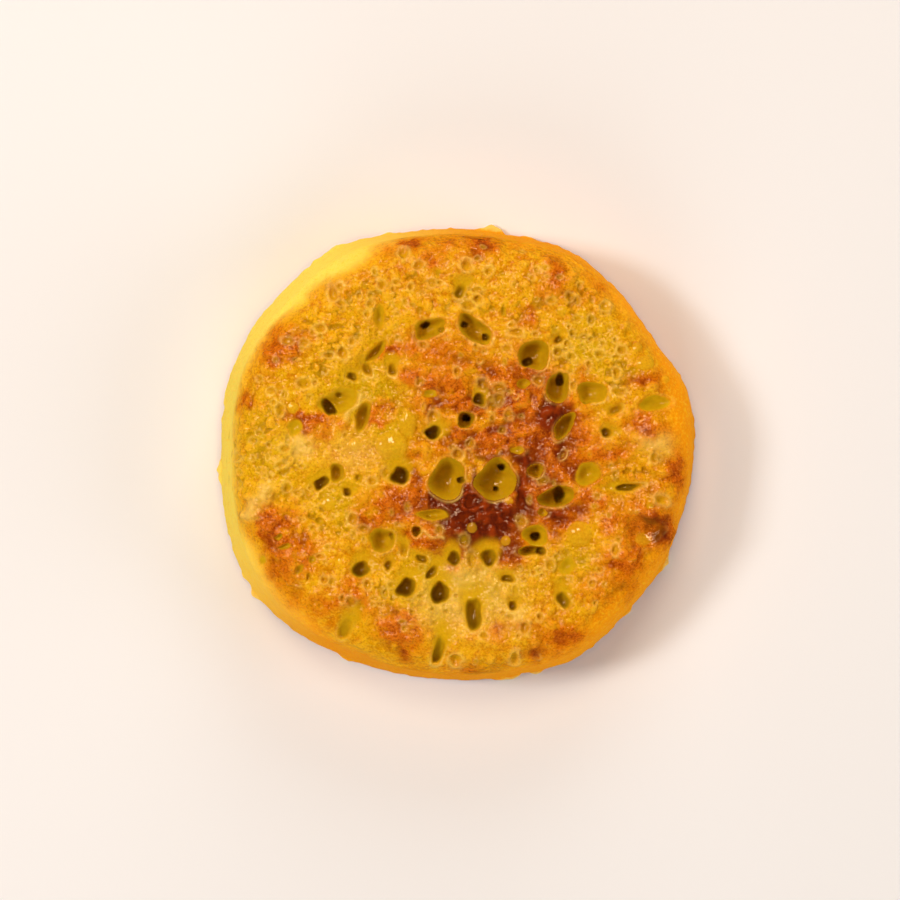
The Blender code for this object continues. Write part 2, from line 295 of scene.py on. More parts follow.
# Toasted swellings of the top, and three sunken fields.
SWELLS = rows(
    Patch,
    (-9.1, 38.5, 4.5, 3.2, 0.5), (6.1, 38.2, 3.5, 2.8, 0.5), (17.9, 33, 3, 4, 0.4),
    (-35.5, 18.5, 4.5, 3.8, 0.7), (-39.5, 9.5, 3.5, 3, 0.5), (-26, 4.6, 4.5, 2.4, 0.9),
    (-29, -1.5, 4, 3.2, 0.6), (-35.3, -13, 4, 3.5, 0.5), (-31, -19.5, 4, 3.5, 0.4),
    (-11.5, 17, 4.5, 2.5, 0.6), (1.5, 19.5, 5, 3.2, 0.8), (-1, 14, 6, 3.5, 0.5), (9.5, 10.5, 4.5, 4.5, 0.6),
    (17, 6.8, 3, 2.4, 0.6), (12.5, 1, 4, 3.5, 0.6), (25.5, 1, 4, 2, 0.6), (-12.2, 1.4, 3.2, 3, 0.5),
    (5, -11.5, 8, 2.6, 0.7), (12, -15.5, 3, 4, 0.6), (23.4, -15.3, 2.8, 2.6, 0.6), (36, 14, 3.5, 3.5, 0.5),
    (36.5, 3, 5, 3.5, 0.6), (38, -9.5, 4, 3.5, 0.7), (31.5, -19.5, 4, 3, 0.6), (21, -34, 4.5, 3.5, 0.6),
    (-9.7, -31.5, 4.5, 3, 0.6), (-18.5, -27.5, 3.5, 3, 0.5), (8, -36, 5, 3, 0.5), (-17.5, 10, 9, 9, -0.7),
    (0, -23, 16, 6, -0.7), (27, -6, 7, 6, -0.4),
)

# Wide cells, whose smooth walls curve down to a round floor.
BOWLS = rows(
    Well,
    (7.5, -5.2, 4.3, 3.5, 30, 5), (-1.7, -5, 3.9, 3.4, 85, 4.8), (14.8, 18.7, 3.1, 2.8, 60, 4.6),
    (19.3, 12.4, 3.1, 2.1, 72, 4.4), (25.8, 11.5, 3, 2.1, 10, 2.8), (-5.1, 23.7, 3.2, 1.8, 15, 3.4, 0.3),
    (3.5, 23.5, 4.1, 1.9, -38, 3.8), (19.1, -8.3, 3.3, 2, 15, 4.4), (25, -3.9, 2.4, 2.2, 60, 2.4, 0.6),
    (37.6, 9.5, 3.2, 1.5, 12, 1.8, 0.3), (-22.4, 9.9, 3.6, 2.3, 15, 2.6, 0.9),
    (-17.8, 7, 3, 1.25, 70, 3.2, 0.5), (20.6, 5.2, 3.1, 1.35, 58, 4.2, 0.3),
    (-14.1, -16.6, 2.5, 2.3, 60, 3.4, 0.4), (15.1, -15.7, 2.3, 2.2, 0, 2.6, 0.5),
    (35.2, -14.9, 3.8, 3, -20, 2.2, 0.7, 0.1), (-4.5, -11.7, 3.3, 0.95, 0, 2.2, 0.7),
    (14.2, -18.5, 2.5, 0.9, 0, 3.6, 0.4), (1.8, 6.3, 1.65, 1.5, 90, 4), (15.1, -3.3, 1.5, 1.4, 0, 3.2),
    (-15.4, 19.2, 2.8, 0.9, 42, 2.6, 0.8), (-14.6, 26, 2.2, 1, 90, 1.6, 0.7),
    (21.1, -21.5, 1.8, 1.5, 70, 1.4, 0.7), (-22.7, -3.8, 1.9, 1.4, 80, 3.2, 0.5),
    (-30.6, 4.9, 1.7, 1.4, 35, 1.2, 0.5),
)

# Narrow shafts, nearly straight, that run down towards the base.
SHAFTS = rows(
    Well,
    (-4.3, 4, 1.6, 1.4, 15, 11), (1.9, 6.7, 1, 0.8, -30, 11), (4.4, 10.4, 1.35, 1.2, 70, 9),
    (-10.7, -4.2, 1.9, 1.75, -20, 10), (0.7, -5.1, 0.95, 0.75, 20, 10), (8.6, -2.7, 0.95, 0.9, 0, 10),
    (7.6, -6.8, 0.75, 0.75, 0, 10), (13.7, 17.5, 1.4, 1.05, 10, 8.5), (19.7, 13.8, 1.5, 1, 80, 7.5),
    (19.4, 21.6, 0.95, 0.75, 50, 8), (-5.9, 24.4, 1.3, 0.75, 30, 8.5), (1.6, 24.5, 0.9, 0.75, -35, 8.5),
    (5.5, 22.2, 0.95, 0.75, -60, 8.5), (0.8, 31, 1.6, 1.05, 70, 6), (-24.3, 8.8, 1.9, 1.2, 125, 9),
    (-19.8, 14.7, 1.25, 0.85, -15, 8), (-17, 16, 1.5, 0.75, 112, 7), (-12.2, 16.1, 1.4, 0.85, 100, 6.5),
    (-25.7, -5.6, 1.65, 1.2, 35, 9), (-20.7, -7.3, 1, 0.9, 110, 8), (28.6, 4, 1.25, 0.95, 0, 8),
    (30.2, 8.2, 1.35, 0.8, 20, 6.5), (32.4, -6.5, 2.5, 0.74, 3, 11), (19.6, -8, 1.8, 1.4, 80, 7),
    (15.1, -15.9, 1.15, 1.05, 0, 9.5), (16, -18.6, 1, 0.8, 0, 8.5), (-18.1, -22, 1.95, 1.5, 15, 8),
    (-12.9, -21.3, 1.05, 0.75, 70, 8), (-6.6, -20.1, 1.3, 0.75, -20, 8.5), (-10, -18.2, 1.5, 0.75, 90, 5),
    (-9.5, -25.5, 2.25, 1.65, 60, 9), (-3.1, -26.5, 2.4, 1.7, 80, 9), (-4.5, -22.5, 1.7, 1, 50, 7),
    (-0.5, -19.9, 1.5, 1.35, 90, 7.5), (6.2, -19.7, 1.75, 1.65, 60, 6.5), (3.3, -30.3, 3.2, 1.75, 95, 7),
    (-3.2, -37, 2.9, 1.2, 75, 6), (10.8, -28.9, 1.1, 0.85, 105, 8), (9.7, -23.8, 1.3, 0.85, 0, 8),
    (20.3, -27.8, 1.8, 1.3, 118, 6.5), (-21, -33, 2.4, 1.25, 60, 4),
)

# Pores and slits too small for the solid.
PORES = rows(
    Well,
    (-24.9, 15.5, 0.35, 0.28, 0, 3), (-27.9, -10.2, 0.9, 0.28, 0, 2), (4.5, 17.6, 0.4, 0.4, 0, 3),
    (11.3, 10.7, 0.35, 0.3, 0, 3), (-30.2, -24.9, 0.4, 0.35, 0, 3), (14.7, -22.7, 0.45, 0.4, 0, 3.5),
    (27.3, -22.1, 0.5, 0.45, 0, 3.5), (15.6, -39, 0.35, 0.3, 0, 2), (-5.4, -26, 0.3, 0.3, 0, 3),
    (20.6, -19, 0.9, 0.35, -50, 3.5), (20.3, -0.4, 0.85, 0.45, 55, 3.5), (24.75, 9.7, 0.95, 0.4, 0, 3),
    (-0.4, 28.7, 1.2, 0.5, 60, 2.4), (-3, 23.5, 0.8, 0.6, 0, 4.5), (5, -6.05, 0.75, 0.5, 0, 4),
    (-12.45, -15.8, 0.6, 0.8, 0, 5), (-5.2, -12, 0.6, 0.4, 0, 4), (15.1, -2.75, 0.7, 0.4, 0, 4),
    (-22.35, 11.05, 1, 0.7, 0, 4.5), (11.9, 0.75, 0.5, 0.32, 20, 3),
)

# Shallow hollows, where the batter set thin and olive.
SHALLOWS = rows(
    Well,
    (-4.9, 11.3, 1.55, 0.8, 0, 1), (12.8, 13.2, 1.35, 1, 0, 1.6), (-18.6, -4.7, 0.75, 0.85, 0, 1.2),
    (9, 26.9, 0.6, 1.2, 0, 1), (36.8, -10, 1.1, 0.8, 0, 0.5), (-32.5, -17.75, 1.4, 0.55, 20, 1),
    (-33.7, -16, 1, 0.6, 30, 1), (-36.9, -20.4, 0.8, 1, 0, 0.8), (-29.8, -22.1, 1.2, 0.7, 65, 1),
    (-26, -12.9, 0.9, 0.9, 0, 1), (-27.3, -20.2, 0.8, 0.8, 0, 0.9), (-28, -23.5, 0.5, 1, 0, 0.8),
    (-7.6, -14.9, 0.8, 1.1, 0, 3), (16.4, -11.3, 1, 0.8, 0, 1.2), (11.65, 0.55, 1.5, 0.9, 0, 0.9),
)

# Domes of thin shiny skin.
BLISTERS = rows(
    Patch,
    (-12.2, 1.4, 3.1, 2.9, 0.55), (-9.2, 5.6, 1.65, 2.5, 0.5), (3, -14.2, 1.05, 1.05, 0.5),
    (9.4, -16.7, 1, 1, 0.5), (10, -9, 0.9, 0.8, 0.4), (20, 27, 1, 1, 0.4), (23.4, -15.3, 2.5, 2.5, 0.5),
    (-31, 8.6, 1.1, 1.1, 0.4), (-19.2, 1.7, 1.2, 1.2, 0.4), (36, 17.2, 1.9, 1.5, 0.5),
    (34.5, 20.1, 1, 1, 0.4), (39.9, 14.1, 0.8, 0.8, 0.3), (-24.4, -9.6, 1.4, 1.4, 0.3),
    (35.6, -16.4, 1.7, 1.1, 0.5),
)

# Smooth pale fields.
PALE_FIELDS = rows(
    Patch,
    (-29.6, 1.6, 2.2, 2.2, 0.9), (37.75, 1.9, 2.7, 1.7, 0.7), (11.5, -30.3, 1.7, 2.1, 0.8),
    (4, -28, 6.5, 5.5, 0.4), (0.8, -24.5, 5, 3.5, 0.8), (-20, 0, 5, 3, 0.35), (-2, -29.5, 6, 4, 0.45),
)

# Yellower fields, where the batter set thick or was shaded from the heat.
SUNNY_FIELDS = rows(
    Patch,
    (-33, -2, 10, 10, 0.95), (-24, 12, 9, 6, 0.8), (-30, 30, 9, 9, 0.8), (-21, 24, 6, 6, 0.4),
    (-13, 3, 4, 5, 0.7), (1, -26, 15, 6, 0.95), (37, 1, 4, 3.5, 0.6), (28, 14, 7, 7, 0.7),
    (6, 30, 10, 5, 0.6), (-12, 27, 5, 4, 0.6), (-21, -9, 7, 7, 0.7), (27, -17, 5, 7, 0.5),
    (-16, -36, 8, 4, 0.6), (1, -37, 6, 4, 0.5), (-38, -2, 8, 11, 0.6), (24, 23, 8, 7, 0.7),
)

# Sunken fields, moist and olive.
OLIVE_FIELDS = rows(
    Patch,
    (-18, 11, 8, 7, 0.8), (-15, 20, 4, 5, 0.6), (27, -6.5, 6, 4.5, 0.6), (-22, -8, 6, 4, 0.6),
    (2, -20.5, 13, 4, 0.7), (24, 19, 6, 5, 0.5), (24, -20, 5, 4, 0.5), (-19, -13, 5, 4, 0.6),
    (-11, -14, 5, 3, 0.5), (15, -12.5, 3, 2.5, 0.5), (-11, 6, 5, 3, 0.5), (0, -26, 13, 6, 0.9),
    (-13, 1, 5, 5, 0.4), (-36, 2, 7, 9, 0.5), (26, 20, 8, 7, 0.3),
)

# Browning, from a light toast to dark.
TOASTED = rows(
    Patch,
    (-11, 41, 4.6, 2.8, 0.5), (-9, 40.5, 2.2, 1.4, 0.3), (-2, 41, 3, 2.2, 0.3), (5, 40.3, 3.8, 3.4, 0.45),
    (5.6, 39.8, 1.4, 1.4, 0.4), (-4.8, 36.8, 2.6, 1.5, 0.4), (18.6, 33.6, 2.3, 3.8, 0.4),
    (28.5, 32, 3, 2, 0.25), (13.2, 26.8, 1.6, 2.4, 0.4), (-24.5, 31.5, 6, 3.5, 0.15), (-36, 21, 5, 3.6, 0.3),
    (-31.5, 21, 3, 4, 0.3), (-34.2, 16.8, 1.8, 2, 0.5), (-41.2, 9.6, 3.2, 1.9, 0.42),
    (-28.3, 6.2, 3.9, 1.9, 0.6), (-28.8, 6.6, 2.8, 1.2, 0.4), (-24, 4.4, 3.4, 1.4, 0.3),
    (-13.2, 19.4, 2.2, 1.3, 0.4), (-7.2, 13.7, 3.4, 1.7, 0.65), (-14.3, 8, 2.2, 2.2, 0.4),
    (-15, 5.2, 2.6, 0.9, 0.4), (-6, 19.5, 8, 3.5, 0.3), (-3, 9.5, 5, 6, 0.3), (6.5, 11.5, 8, 5.5, 0.55),
    (13.5, 14.5, 6, 4, 0.45), (5, 3, 7, 3.6, 0.6), (14, 4.5, 6, 5, 0.6), (19, 6.5, 4.6, 3.2, 0.8),
    (17.5, 7, 2.2, 1.6, 0.6), (18.5, -1, 6, 4.5, 0.65), (24.5, -3.8, 3.2, 2.6, 0.5), (14, -7, 4.5, 6, 0.7),
    (1.5, -9.5, 8, 3, 0.85), (5, -14, 7.5, 4.5, 0.8), (-8, -4, 2.2, 5, 0.4), (-11, -9.5, 5.5, 3.4, 0.55),
    (-17.5, -13.2, 3.2, 2.4, 0.4), (-6.5, -17, 4.5, 2.4, 0.5), (-0.8, -20, 1.8, 2.2, 0.7),
    (9.5, -19.5, 3.6, 2.8, 0.6), (20, -12.5, 4.5, 2.6, 0.7), (25, -8.8, 3.4, 2.2, 0.45),
    (24, 3, 5, 1.8, 0.45), (28.5, 0, 3.6, 1.6, 0.4), (24.6, 13.5, 2, 3, 0.35), (36, 14.2, 4.2, 1.8, 0.42),
    (36, 5.6, 3.6, 3.4, 0.45), (35.5, 4.4, 2, 1.2, 0.4), (41.8, -3.4, 2.2, 4, 0.5), (36.5, -14, 5.2, 4, 0.4),
    (36.8, -13.6, 3.6, 1.7, 0.6), (40.4, -16.5, 1.3, 2.6, 0.6), (29.5, -12.5, 2.4, 2.2, 0.3),
    (32, -20.5, 4.2, 3.4, 0.45), (35, -8, 8, 8, 0.15), (20.8, -34.6, 4.2, 2.6, 0.55),
    (13.5, -32.6, 2.8, 1.5, 0.35), (7.8, -34, 1.6, 2.2, 0.4), (15.5, -39.5, 1.7, 2.2, 0.3),
    (3.5, -42.6, 5, 2.2, 0.45), (20, -39, 7, 3, 0.2), (-11.3, -32.8, 4.6, 3.2, 0.5),
    (-9.3, -37.6, 2.2, 3.2, 0.35), (-24, -28.6, 8, 1.9, 0.35), (-19.5, -26, 2, 2.8, 0.35),
    (-35.2, -13, 2.4, 2.8, 0.65), (-34.5, -14, 5, 4, 0.4), (-31, -18.5, 4, 3.2, 0.4),
    (-33, -24, 3.5, 4.5, 0.3), (34, -27.5, 2.4, 3.4, 0.25), (22, 30, 6, 5, 0.12), (27, -25, 5, 4, 0.2),
)

# Sugar that ran and set dark and glossy.
CARAMEL = rows(
    Patch,
    (1.5, -10.8, 8.5, 3.4, 1), (5.5, -13.6, 6.4, 3.8, 0.9), (-4, -8.4, 2.6, 1.5, 0.8),
    (2.7, -6, 1.3, 3.6, 0.9), (12.6, -6.5, 1.9, 4.6, 0.75), (7.5, -0.6, 5, 1, 0.6),
    (13.5, -1.6, 3.4, 2, 0.6), (17.5, -5.2, 3, 1.8, 0.55), (19, 6.6, 4.6, 2.2, 0.9),
    (17.3, 7, 2.2, 1.4, 0.8), (20.6, 1.2, 2, 3.4, 0.6), (25.4, -3, 3, 1.6, 0.5), (18.5, -11.4, 5, 1.5, 0.7),
    (9.5, -18.2, 4, 1.8, 0.55), (2.5, -16.8, 5, 1.3, 0.55), (-0.8, -20, 1.6, 2, 0.6),
    (11, 15.5, 1.2, 2.6, 0.4), (8, 12, 2.2, 1, 0.35), (36.2, -12.1, 3.2, 1.1, 0.7),
    (39.3, -15.1, 1, 2.4, 0.7), (16.5, 8.7, 3, 3, 0.5), (4, -19, 3, 0.8, 0.4),
)

# Where the crust rose into a web of small crags.
CRUSTED = rows(
    Patch,
    (6, 8, 12, 12, 0.9), (4, -9, 13, 5, 0.9), (-10, 10, 8, 9, 0.6), (34, -16, 6, 5, 0.6),
    (-28, 5, 5, 3, 0.5), (-34, -13, 5, 5, 0.6), (14, -28, 9, 5, 0.5), (-10, -30, 7, 5, 0.5),
    (28, 2, 6, 4, 0.6),
)

# Where the froth of small bubbles lies thick.
FROTH = rows(
    Patch,
    (-24, 22, 10, 9, 0.95), (-9, 31, 9, 5, 0.9), (6, 31, 8, 5, 0.6), (20, 27, 9, 8, 0.95),
    (28, 17, 7, 7, 0.9), (-37.5, 1, 8, 11, 0.95), (-24, -13, 8, 6, 0.8), (-15, -27, 7, 5, 0.6),
    (33, -3, 7, 8, 0.6), (0, -27, 12, 6, 0.5), (22, -22, 8, 7, 0.5), (4, 8, 16, 14, 0.5),
)

# Small open bubbles that show one by one.
RINGS = rows(
    Bubble,
    (-14.1, 32, 1), (-11.4, 32.4, 0.6), (-8.7, 31.5, 0.8), (-6.5, 30.3, 0.5), (-9.7, 28.7, 0.6),
    (-3.2, 32.4, 0.6), (4, 37, 0.6), (11.1, 31.8, 0.6), (-11.2, 26.4, 0.5), (-11.3, 24.3, 0.4),
    (18.05, 28.9, 0.8), (15.3, 29.2, 0.5), (22.9, 28.9, 0.7), (23, 25.5, 0.8), (25.7, 25.3, 0.8),
    (28.35, 26.6, 0.6), (22, 22.9, 0.7), (25.5, 21.7, 0.6), (27.8, 20.9, 0.5), (30.2, 21.5, 0.6),
    (21.9, 20, 0.5), (24, 20.5, 0.5), (21.9, 18.5, 0.8), (27.2, 18.7, 0.9), (25.2, 16.9, 0.8),
    (30.4, 18.2, 0.8), (30.4, 15.3, 1), (19.7, 33.4, 0.6), (15.2, 34.9, 0.6), (-35.5, 1.5, 0.5),
    (-32.5, 0.9, 1), (-35.8, -0.8, 0.5), (-33.3, -2.2, 1), (-37.6, -3.2, 0.55), (-38.8, -1, 0.6),
    (-38.6, 2.5, 0.7), (-35.3, -4.7, 0.6), (-30.1, -7.5, 0.8), (-26.9, 13.4, 0.6), (-27.8, 10.7, 0.6),
    (-25, -24.1, 0.9), (-16.8, -25, 1), (-6.8, -27.2, 0.8), (-4.5, -29.5, 0.5), (-1.8, -30.1, 0.7),
    (-0.1, -27.2, 0.6), (3.5, -25.6, 0.9), (6, -26.3, 0.5), (7.7, -25.9, 0.7), (-3.9, -32.2, 0.7),
    (-6.2, -32.2, 0.6), (-9.9, -33.2, 0.5), (-8.4, -30.1, 0.6), (-13.5, -26.7, 0.7), (-15.4, -27.6, 0.7),
    (-14.1, -28.7, 0.5), (5.2, -34.6, 0.85),
)

# Thin webs between cells.
RIDGES = rows(
    Ridge,
    (9.7, 18.6, 14, 13.7, 0.35, 0.5), (-1.4, 24.6, 1.25, 21.9, 0.45, 0.7), (1.25, 21.9, 2, 18.5, 0.5, 0.4),
    (15.8, -9.2, 17.85, -10.9, 0.3, 0.4), (17.6, 5.4, 19.2, 2.6, 0.35, 0.4),
    (19.2, 2.6, 24.5, 1.2, 0.4, 0.35), (-18, 10.75, -21.1, 7, 0.6, 0.5),
    (-35.9, -6.9, -39.5, -11.7, 1.3, 0.8), (-6.5, -15, -2.5, -16.4, 0.3, 0.35),
    (4, -17.4, 9, -18.6, 0.35, 0.35), (-15.8, -19.6, -11, -18.4, 0.35, 0.3), (11, -8.2, 12.8, -4, 0.4, 0.3),
    (32.6, -12.8, 37.6, -12, 0.8, 0.6), (37.6, -12, 41, -15, 0.8, 0.7), (41, -15, 40.6, -18.6, 0.8, 0.6),
)
PALE_RIDGES = (6, 7, 8)  # the ones that stayed cream

# The coloured fields, each with how far its outline wanders.
FIELDS = {
    "caramel": (CARAMEL, 1.0),
    "toast": (TOASTED, 1.0),
    "pale": (PALE_FIELDS, 0.7),
    "sunny": (SUNNY_FIELDS, 1.0),
    "olive": (OLIVE_FIELDS, 1.0),
}


# ---- the turned cake, as in the solid
def smooth_rise(low, high, value):
    t = np.clip((value - low) / (high - low), 0.0, 1.0)
    return t * t * (3 - 2 * t)


def bell(value, middle, width):
    """1 at the middle, and falling smoothly to 0 a few widths off."""
    return np.exp(-(((value - middle) / width) ** 2))


def off_bearing(degrees, bearing):
    return (degrees - bearing + 180.0) % 360.0 - 180.0


def ahead(dx, dy, bearing):
    """How far each offset reaches along a bearing."""
    return dx * math.cos(bearing) + dy * math.sin(bearing)


def facing(dx, dy, bearing):
    """How far each offset points along a bearing, from -1 to 1."""
    return ahead(dx, dy, bearing) / np.maximum(np.hypot(dx, dy), CENTRE_GAP)


def turned(ball):
    """The turned cake's radius, height and outward lean at each point of a ball of batter, which settles
    into the level top, the shoulder, the wall, the base's rounding and the flat base."""
    x, y, z = ball.T
    down = np.degrees(np.arctan2(np.hypot(x, y), z))
    stops = zip(BALL_STOPS, BALL_STOPS[1:])
    at_top, at_shoulder, at_wall, at_round, at_base = ((down - a) / (b - a) for a, b in stops)
    where = [down < stop for stop in BALL_STOPS[1:-1]]
    bend = (1 - at_shoulder) * math.pi / 2
    roll = at_round * math.pi / 2
    radii = np.select(
        where,
        [
            LEVEL_RADIUS * at_top,
            LEVEL_RADIUS + SHOULDER_REACH * np.cos(bend),
            EDGE_RADIUS - WALL_DRAFT * (1 - at_wall),
            EDGE_RADIUS - BASE_ROUND * (1 - np.cos(roll)),
        ],
        (EDGE_RADIUS - BASE_ROUND) * (1 - at_base),
    )
    heights = np.select(
        where,
        [
            HEIGHT - SUNKEN_CENTRE * (1 - at_top**2),
            WALL_TOP + (HEIGHT - WALL_TOP) * np.sin(bend),
            BASE_ROUND + (WALL_TOP - BASE_ROUND) * (1 - at_wall),
            BASE_ROUND * (1 - np.sin(roll)),
        ],
        0.0,
    )
    upright = np.full_like(down, math.pi / 2)
    draft = math.atan2(WALL_DRAFT, WALL_TOP - BASE_ROUND)
    lean = np.select(where, [upright, bend, np.full_like(down, draft), -roll], -math.pi / 2)
    return np.arctan2(y, x), radii, heights, lean


def edge_radius(angle):
    """The widest edge's radius at each angle in degrees: a smooth curve through EDGE_RADII."""
    radii = np.array(EDGE_RADII)
    place = np.mod(angle, 360.0) / 360.0 * len(radii)
    first = np.floor(place).astype(int)
    t = place - first
    before, start, end, after = (radii[(first + k) % len(radii)] for k in (-1, 0, 1, 2))
    bend = 2 * before - 5 * start + 4 * end - after
    twist = 3 * (start - end) + after - before
    return start + 0.5 * t * (end - before + t * (bend + t * twist))


def fleck_reach(angle):
    """How far flecks and nicks move the widest edge at each angle in degrees."""
    reach = np.zeros_like(angle)
    for fleck in FLECKS:
        off = np.radians(off_bearing(angle, fleck.angle))
        near = np.clip(off * EDGE_RADIUS / (2.0 * fleck.half_width), -1.0, 1.0)
        reach += fleck.out * 0.5 * (1.0 + np.cos(np.pi * near))
    return reach


def within(patch, x, y):
    """How far each place lies in a soft patch: 1 at its middle, and falling smoothly to 0."""
    return np.exp(-(((x - patch.x) / patch.half_x) ** 2 + ((y - patch.y) / patch.half_y) ** 2))


def swelling(x, y):
    """How far the top rises or sinks at each place."""
    first, second = BROAD_SLANTS
    rise = BROAD_WAVE * np.sin(2 * np.pi * (x + first * y) / BROAD_LENGTH)
    rise = rise * np.cos(2 * np.pi * (y - second * x) / BROAD_LENGTH)
    for swell in SWELLS:
        rise = rise + swell.amount * within(swell, x, y)
    return rise


def lumps(points, size, seed):
    """Smooth unevenness from -1 to 1, whose lumps are about that size."""
    cell = np.floor(points / size).astype(np.int64)
    t = points / size - cell
    t = t * t * (3 - 2 * t)
    total = np.zeros(len(points))
    for corner in np.ndindex(2, 2, 2):
        key = (cell + corner) @ np.array([73856093, 19349663, 83492791]) + seed * 2654435761
        key = (key ^ (key >> 15)) * 2246822519 & 0xFFFFFFFF
        key = (key ^ (key >> 13)) * 3266489917 & 0xFFFFFFFF
        share = np.prod(np.where(corner, t, 1 - t), axis=1)
        total += share * ((key ^ (key >> 16)) / 2147483648.0 - 1.0)
    return total


def heaped(points, *heaps):
    """Unevenness built up from lumps of several sizes."""
    return sum(share * lumps(points, size, seed) for share, size, seed in heaps)


def covered(patches, x, y):
    """How far soft patches cover each place, from 0 to 1."""
    bare = np.ones_like(x)
    for patch in patches:
        bare *= 1 - patch.amount * within(patch, x, y)
    return 1 - bare


# ---- finding the points near a small feature
class Sheet:
    """The top's points sorted into squares, so that a small feature finds those near it."""

    ROWS = 1000
    MARGIN = 80.0

    def __init__(self, x, y, members):
        self.members = members
        self.x, self.y = x[members], y[members]
        column = np.floor((self.x + self.MARGIN) / SQUARE).astype(int)
        row = np.floor((self.y + self.MARGIN) / SQUARE).astype(int)
        keys = column * self.ROWS + row
        self.order = np.argsort(keys, kind="stable")
        self.keys = keys[self.order]

    def near(self, x, y, reach):
        """Indexes, offsets along X and along Y of the points within that reach."""
        first, last = (int((x + self.MARGIN + way * reach) // SQUARE) for way in (-1, 1))
        low, high = (int((y + self.MARGIN + way * reach) // SQUARE) for way in (-1, 1))
        columns = np.arange(first, last + 1) * self.ROWS
        starts = np.searchsorted(self.keys, columns + low, "left")
        stops = np.searchsorted(self.keys, columns + high, "right")
        found = np.concatenate([self.order[a:b] for a, b in zip(starts, stops)])
        return self.members[found], self.x[found] - x, self.y[found] - y


# ---- froth
def oval(well, dx, dy):
    """Distance from a well's middle as a share of its outline, and the bearing, at each offset."""
    turn = math.radians(well.turn)
    along = ahead(dx, dy, turn) / well.long
    across = (dy * math.cos(turn) - dx * math.sin(turn)) / well.wide
    share = (np.abs(along) ** OVAL_POWER + np.abs(across) ** OVAL_POWER) ** (1 / OVAL_POWER)
    return share, np.arctan2(across, along)


def clear_of_wells(x, y, gap):
    for well in BOWLS + SHAFTS + PORES + SHALLOWS:
        share, _ = oval(well, x - well.x, y - well.y)
        if share < 1 + gap / well.wide:
            return False
    return all(
        math.hypot((x - b.x) / (b.half_x + gap), (y - b.y) / (b.half_y + gap)) > 1 for b in BLISTERS
    )


def brim_start(degrees):
    """How far out the smooth brim begins at each bearing."""
    narrowed = NARROW_BRIM * bell(off_bearing(degrees, NARROW_BEARING), 0.0, BRIM_SPREAD)
    return BRIM_START + narrowed - WIDE_BRIM * bell(off_bearing(degrees, WIDE_BEARING), 0.0, BRIM_SPREAD)


def scattered_froth():
    """Small bubbles thrown on the top by a seeded draw, thick where FROTH says, none over another."""
    draw = np.random.default_rng(FROTH_SEED)
    placed = [(ring.x, ring.y, ring.radius) for ring in RINGS]
    bubbles = list(RINGS)
    for _ in range(FROTH_THROWS):
        radius_out = FROTH_REACH * math.sqrt(draw.random())
        bearing = 2 * math.pi * draw.random()
        size = SMALL_BUBBLE + (LARGE_BUBBLE - SMALL_BUBBLE) * draw.random() ** SMALLNESS
        keep, opened = draw.random(2)
        x, y = radius_out * math.cos(bearing), radius_out * math.sin(bearing)
        thick = float(covered(FROTH, np.array([x]), np.array([y]))[0])
        if keep > STRAYS + (1 - STRAYS) * thick:
            continue
        if radius_out > brim_start(math.degrees(bearing)) + BRIM_OVERLAP:
            continue
        others = np.array(placed)
        gaps = np.hypot(others[:, 0] - x, others[:, 1] - y) - CROWDING * (others[:, 2] + size)
        if gaps.min() < 0 or not clear_of_wells(x, y, WELL_GAP * size):
            continue
        placed.append((x, y, size))
        bubbles.append(Bubble(x, y, size, opened < OPEN_SHARE))
    return bubbles


def raise_to(amounts, found, least):
    amounts[found] = np.maximum(amounts[found], least)


def soft_max(a, b, blend):
    near = np.maximum(blend - np.abs(a - b), 0.0)
    return np.maximum(a, b) + near * near / (4 * blend)


def bowl_depth(well, share):
    curve = BOWL_CURVE - (BOWL_CURVE - SOFT_CURVE) * well.soft
    return well.depth * (1 - share**curve)


def floor_before(shaft):
    """How deep the bowls already lie where a shaft goes down."""
    depths = [bowl_depth(bowl, oval(bowl, shaft.x - bowl.x, shaft.y - bowl.y)[0]) for bowl in BOWLS]
    return max(0.0, *depths)


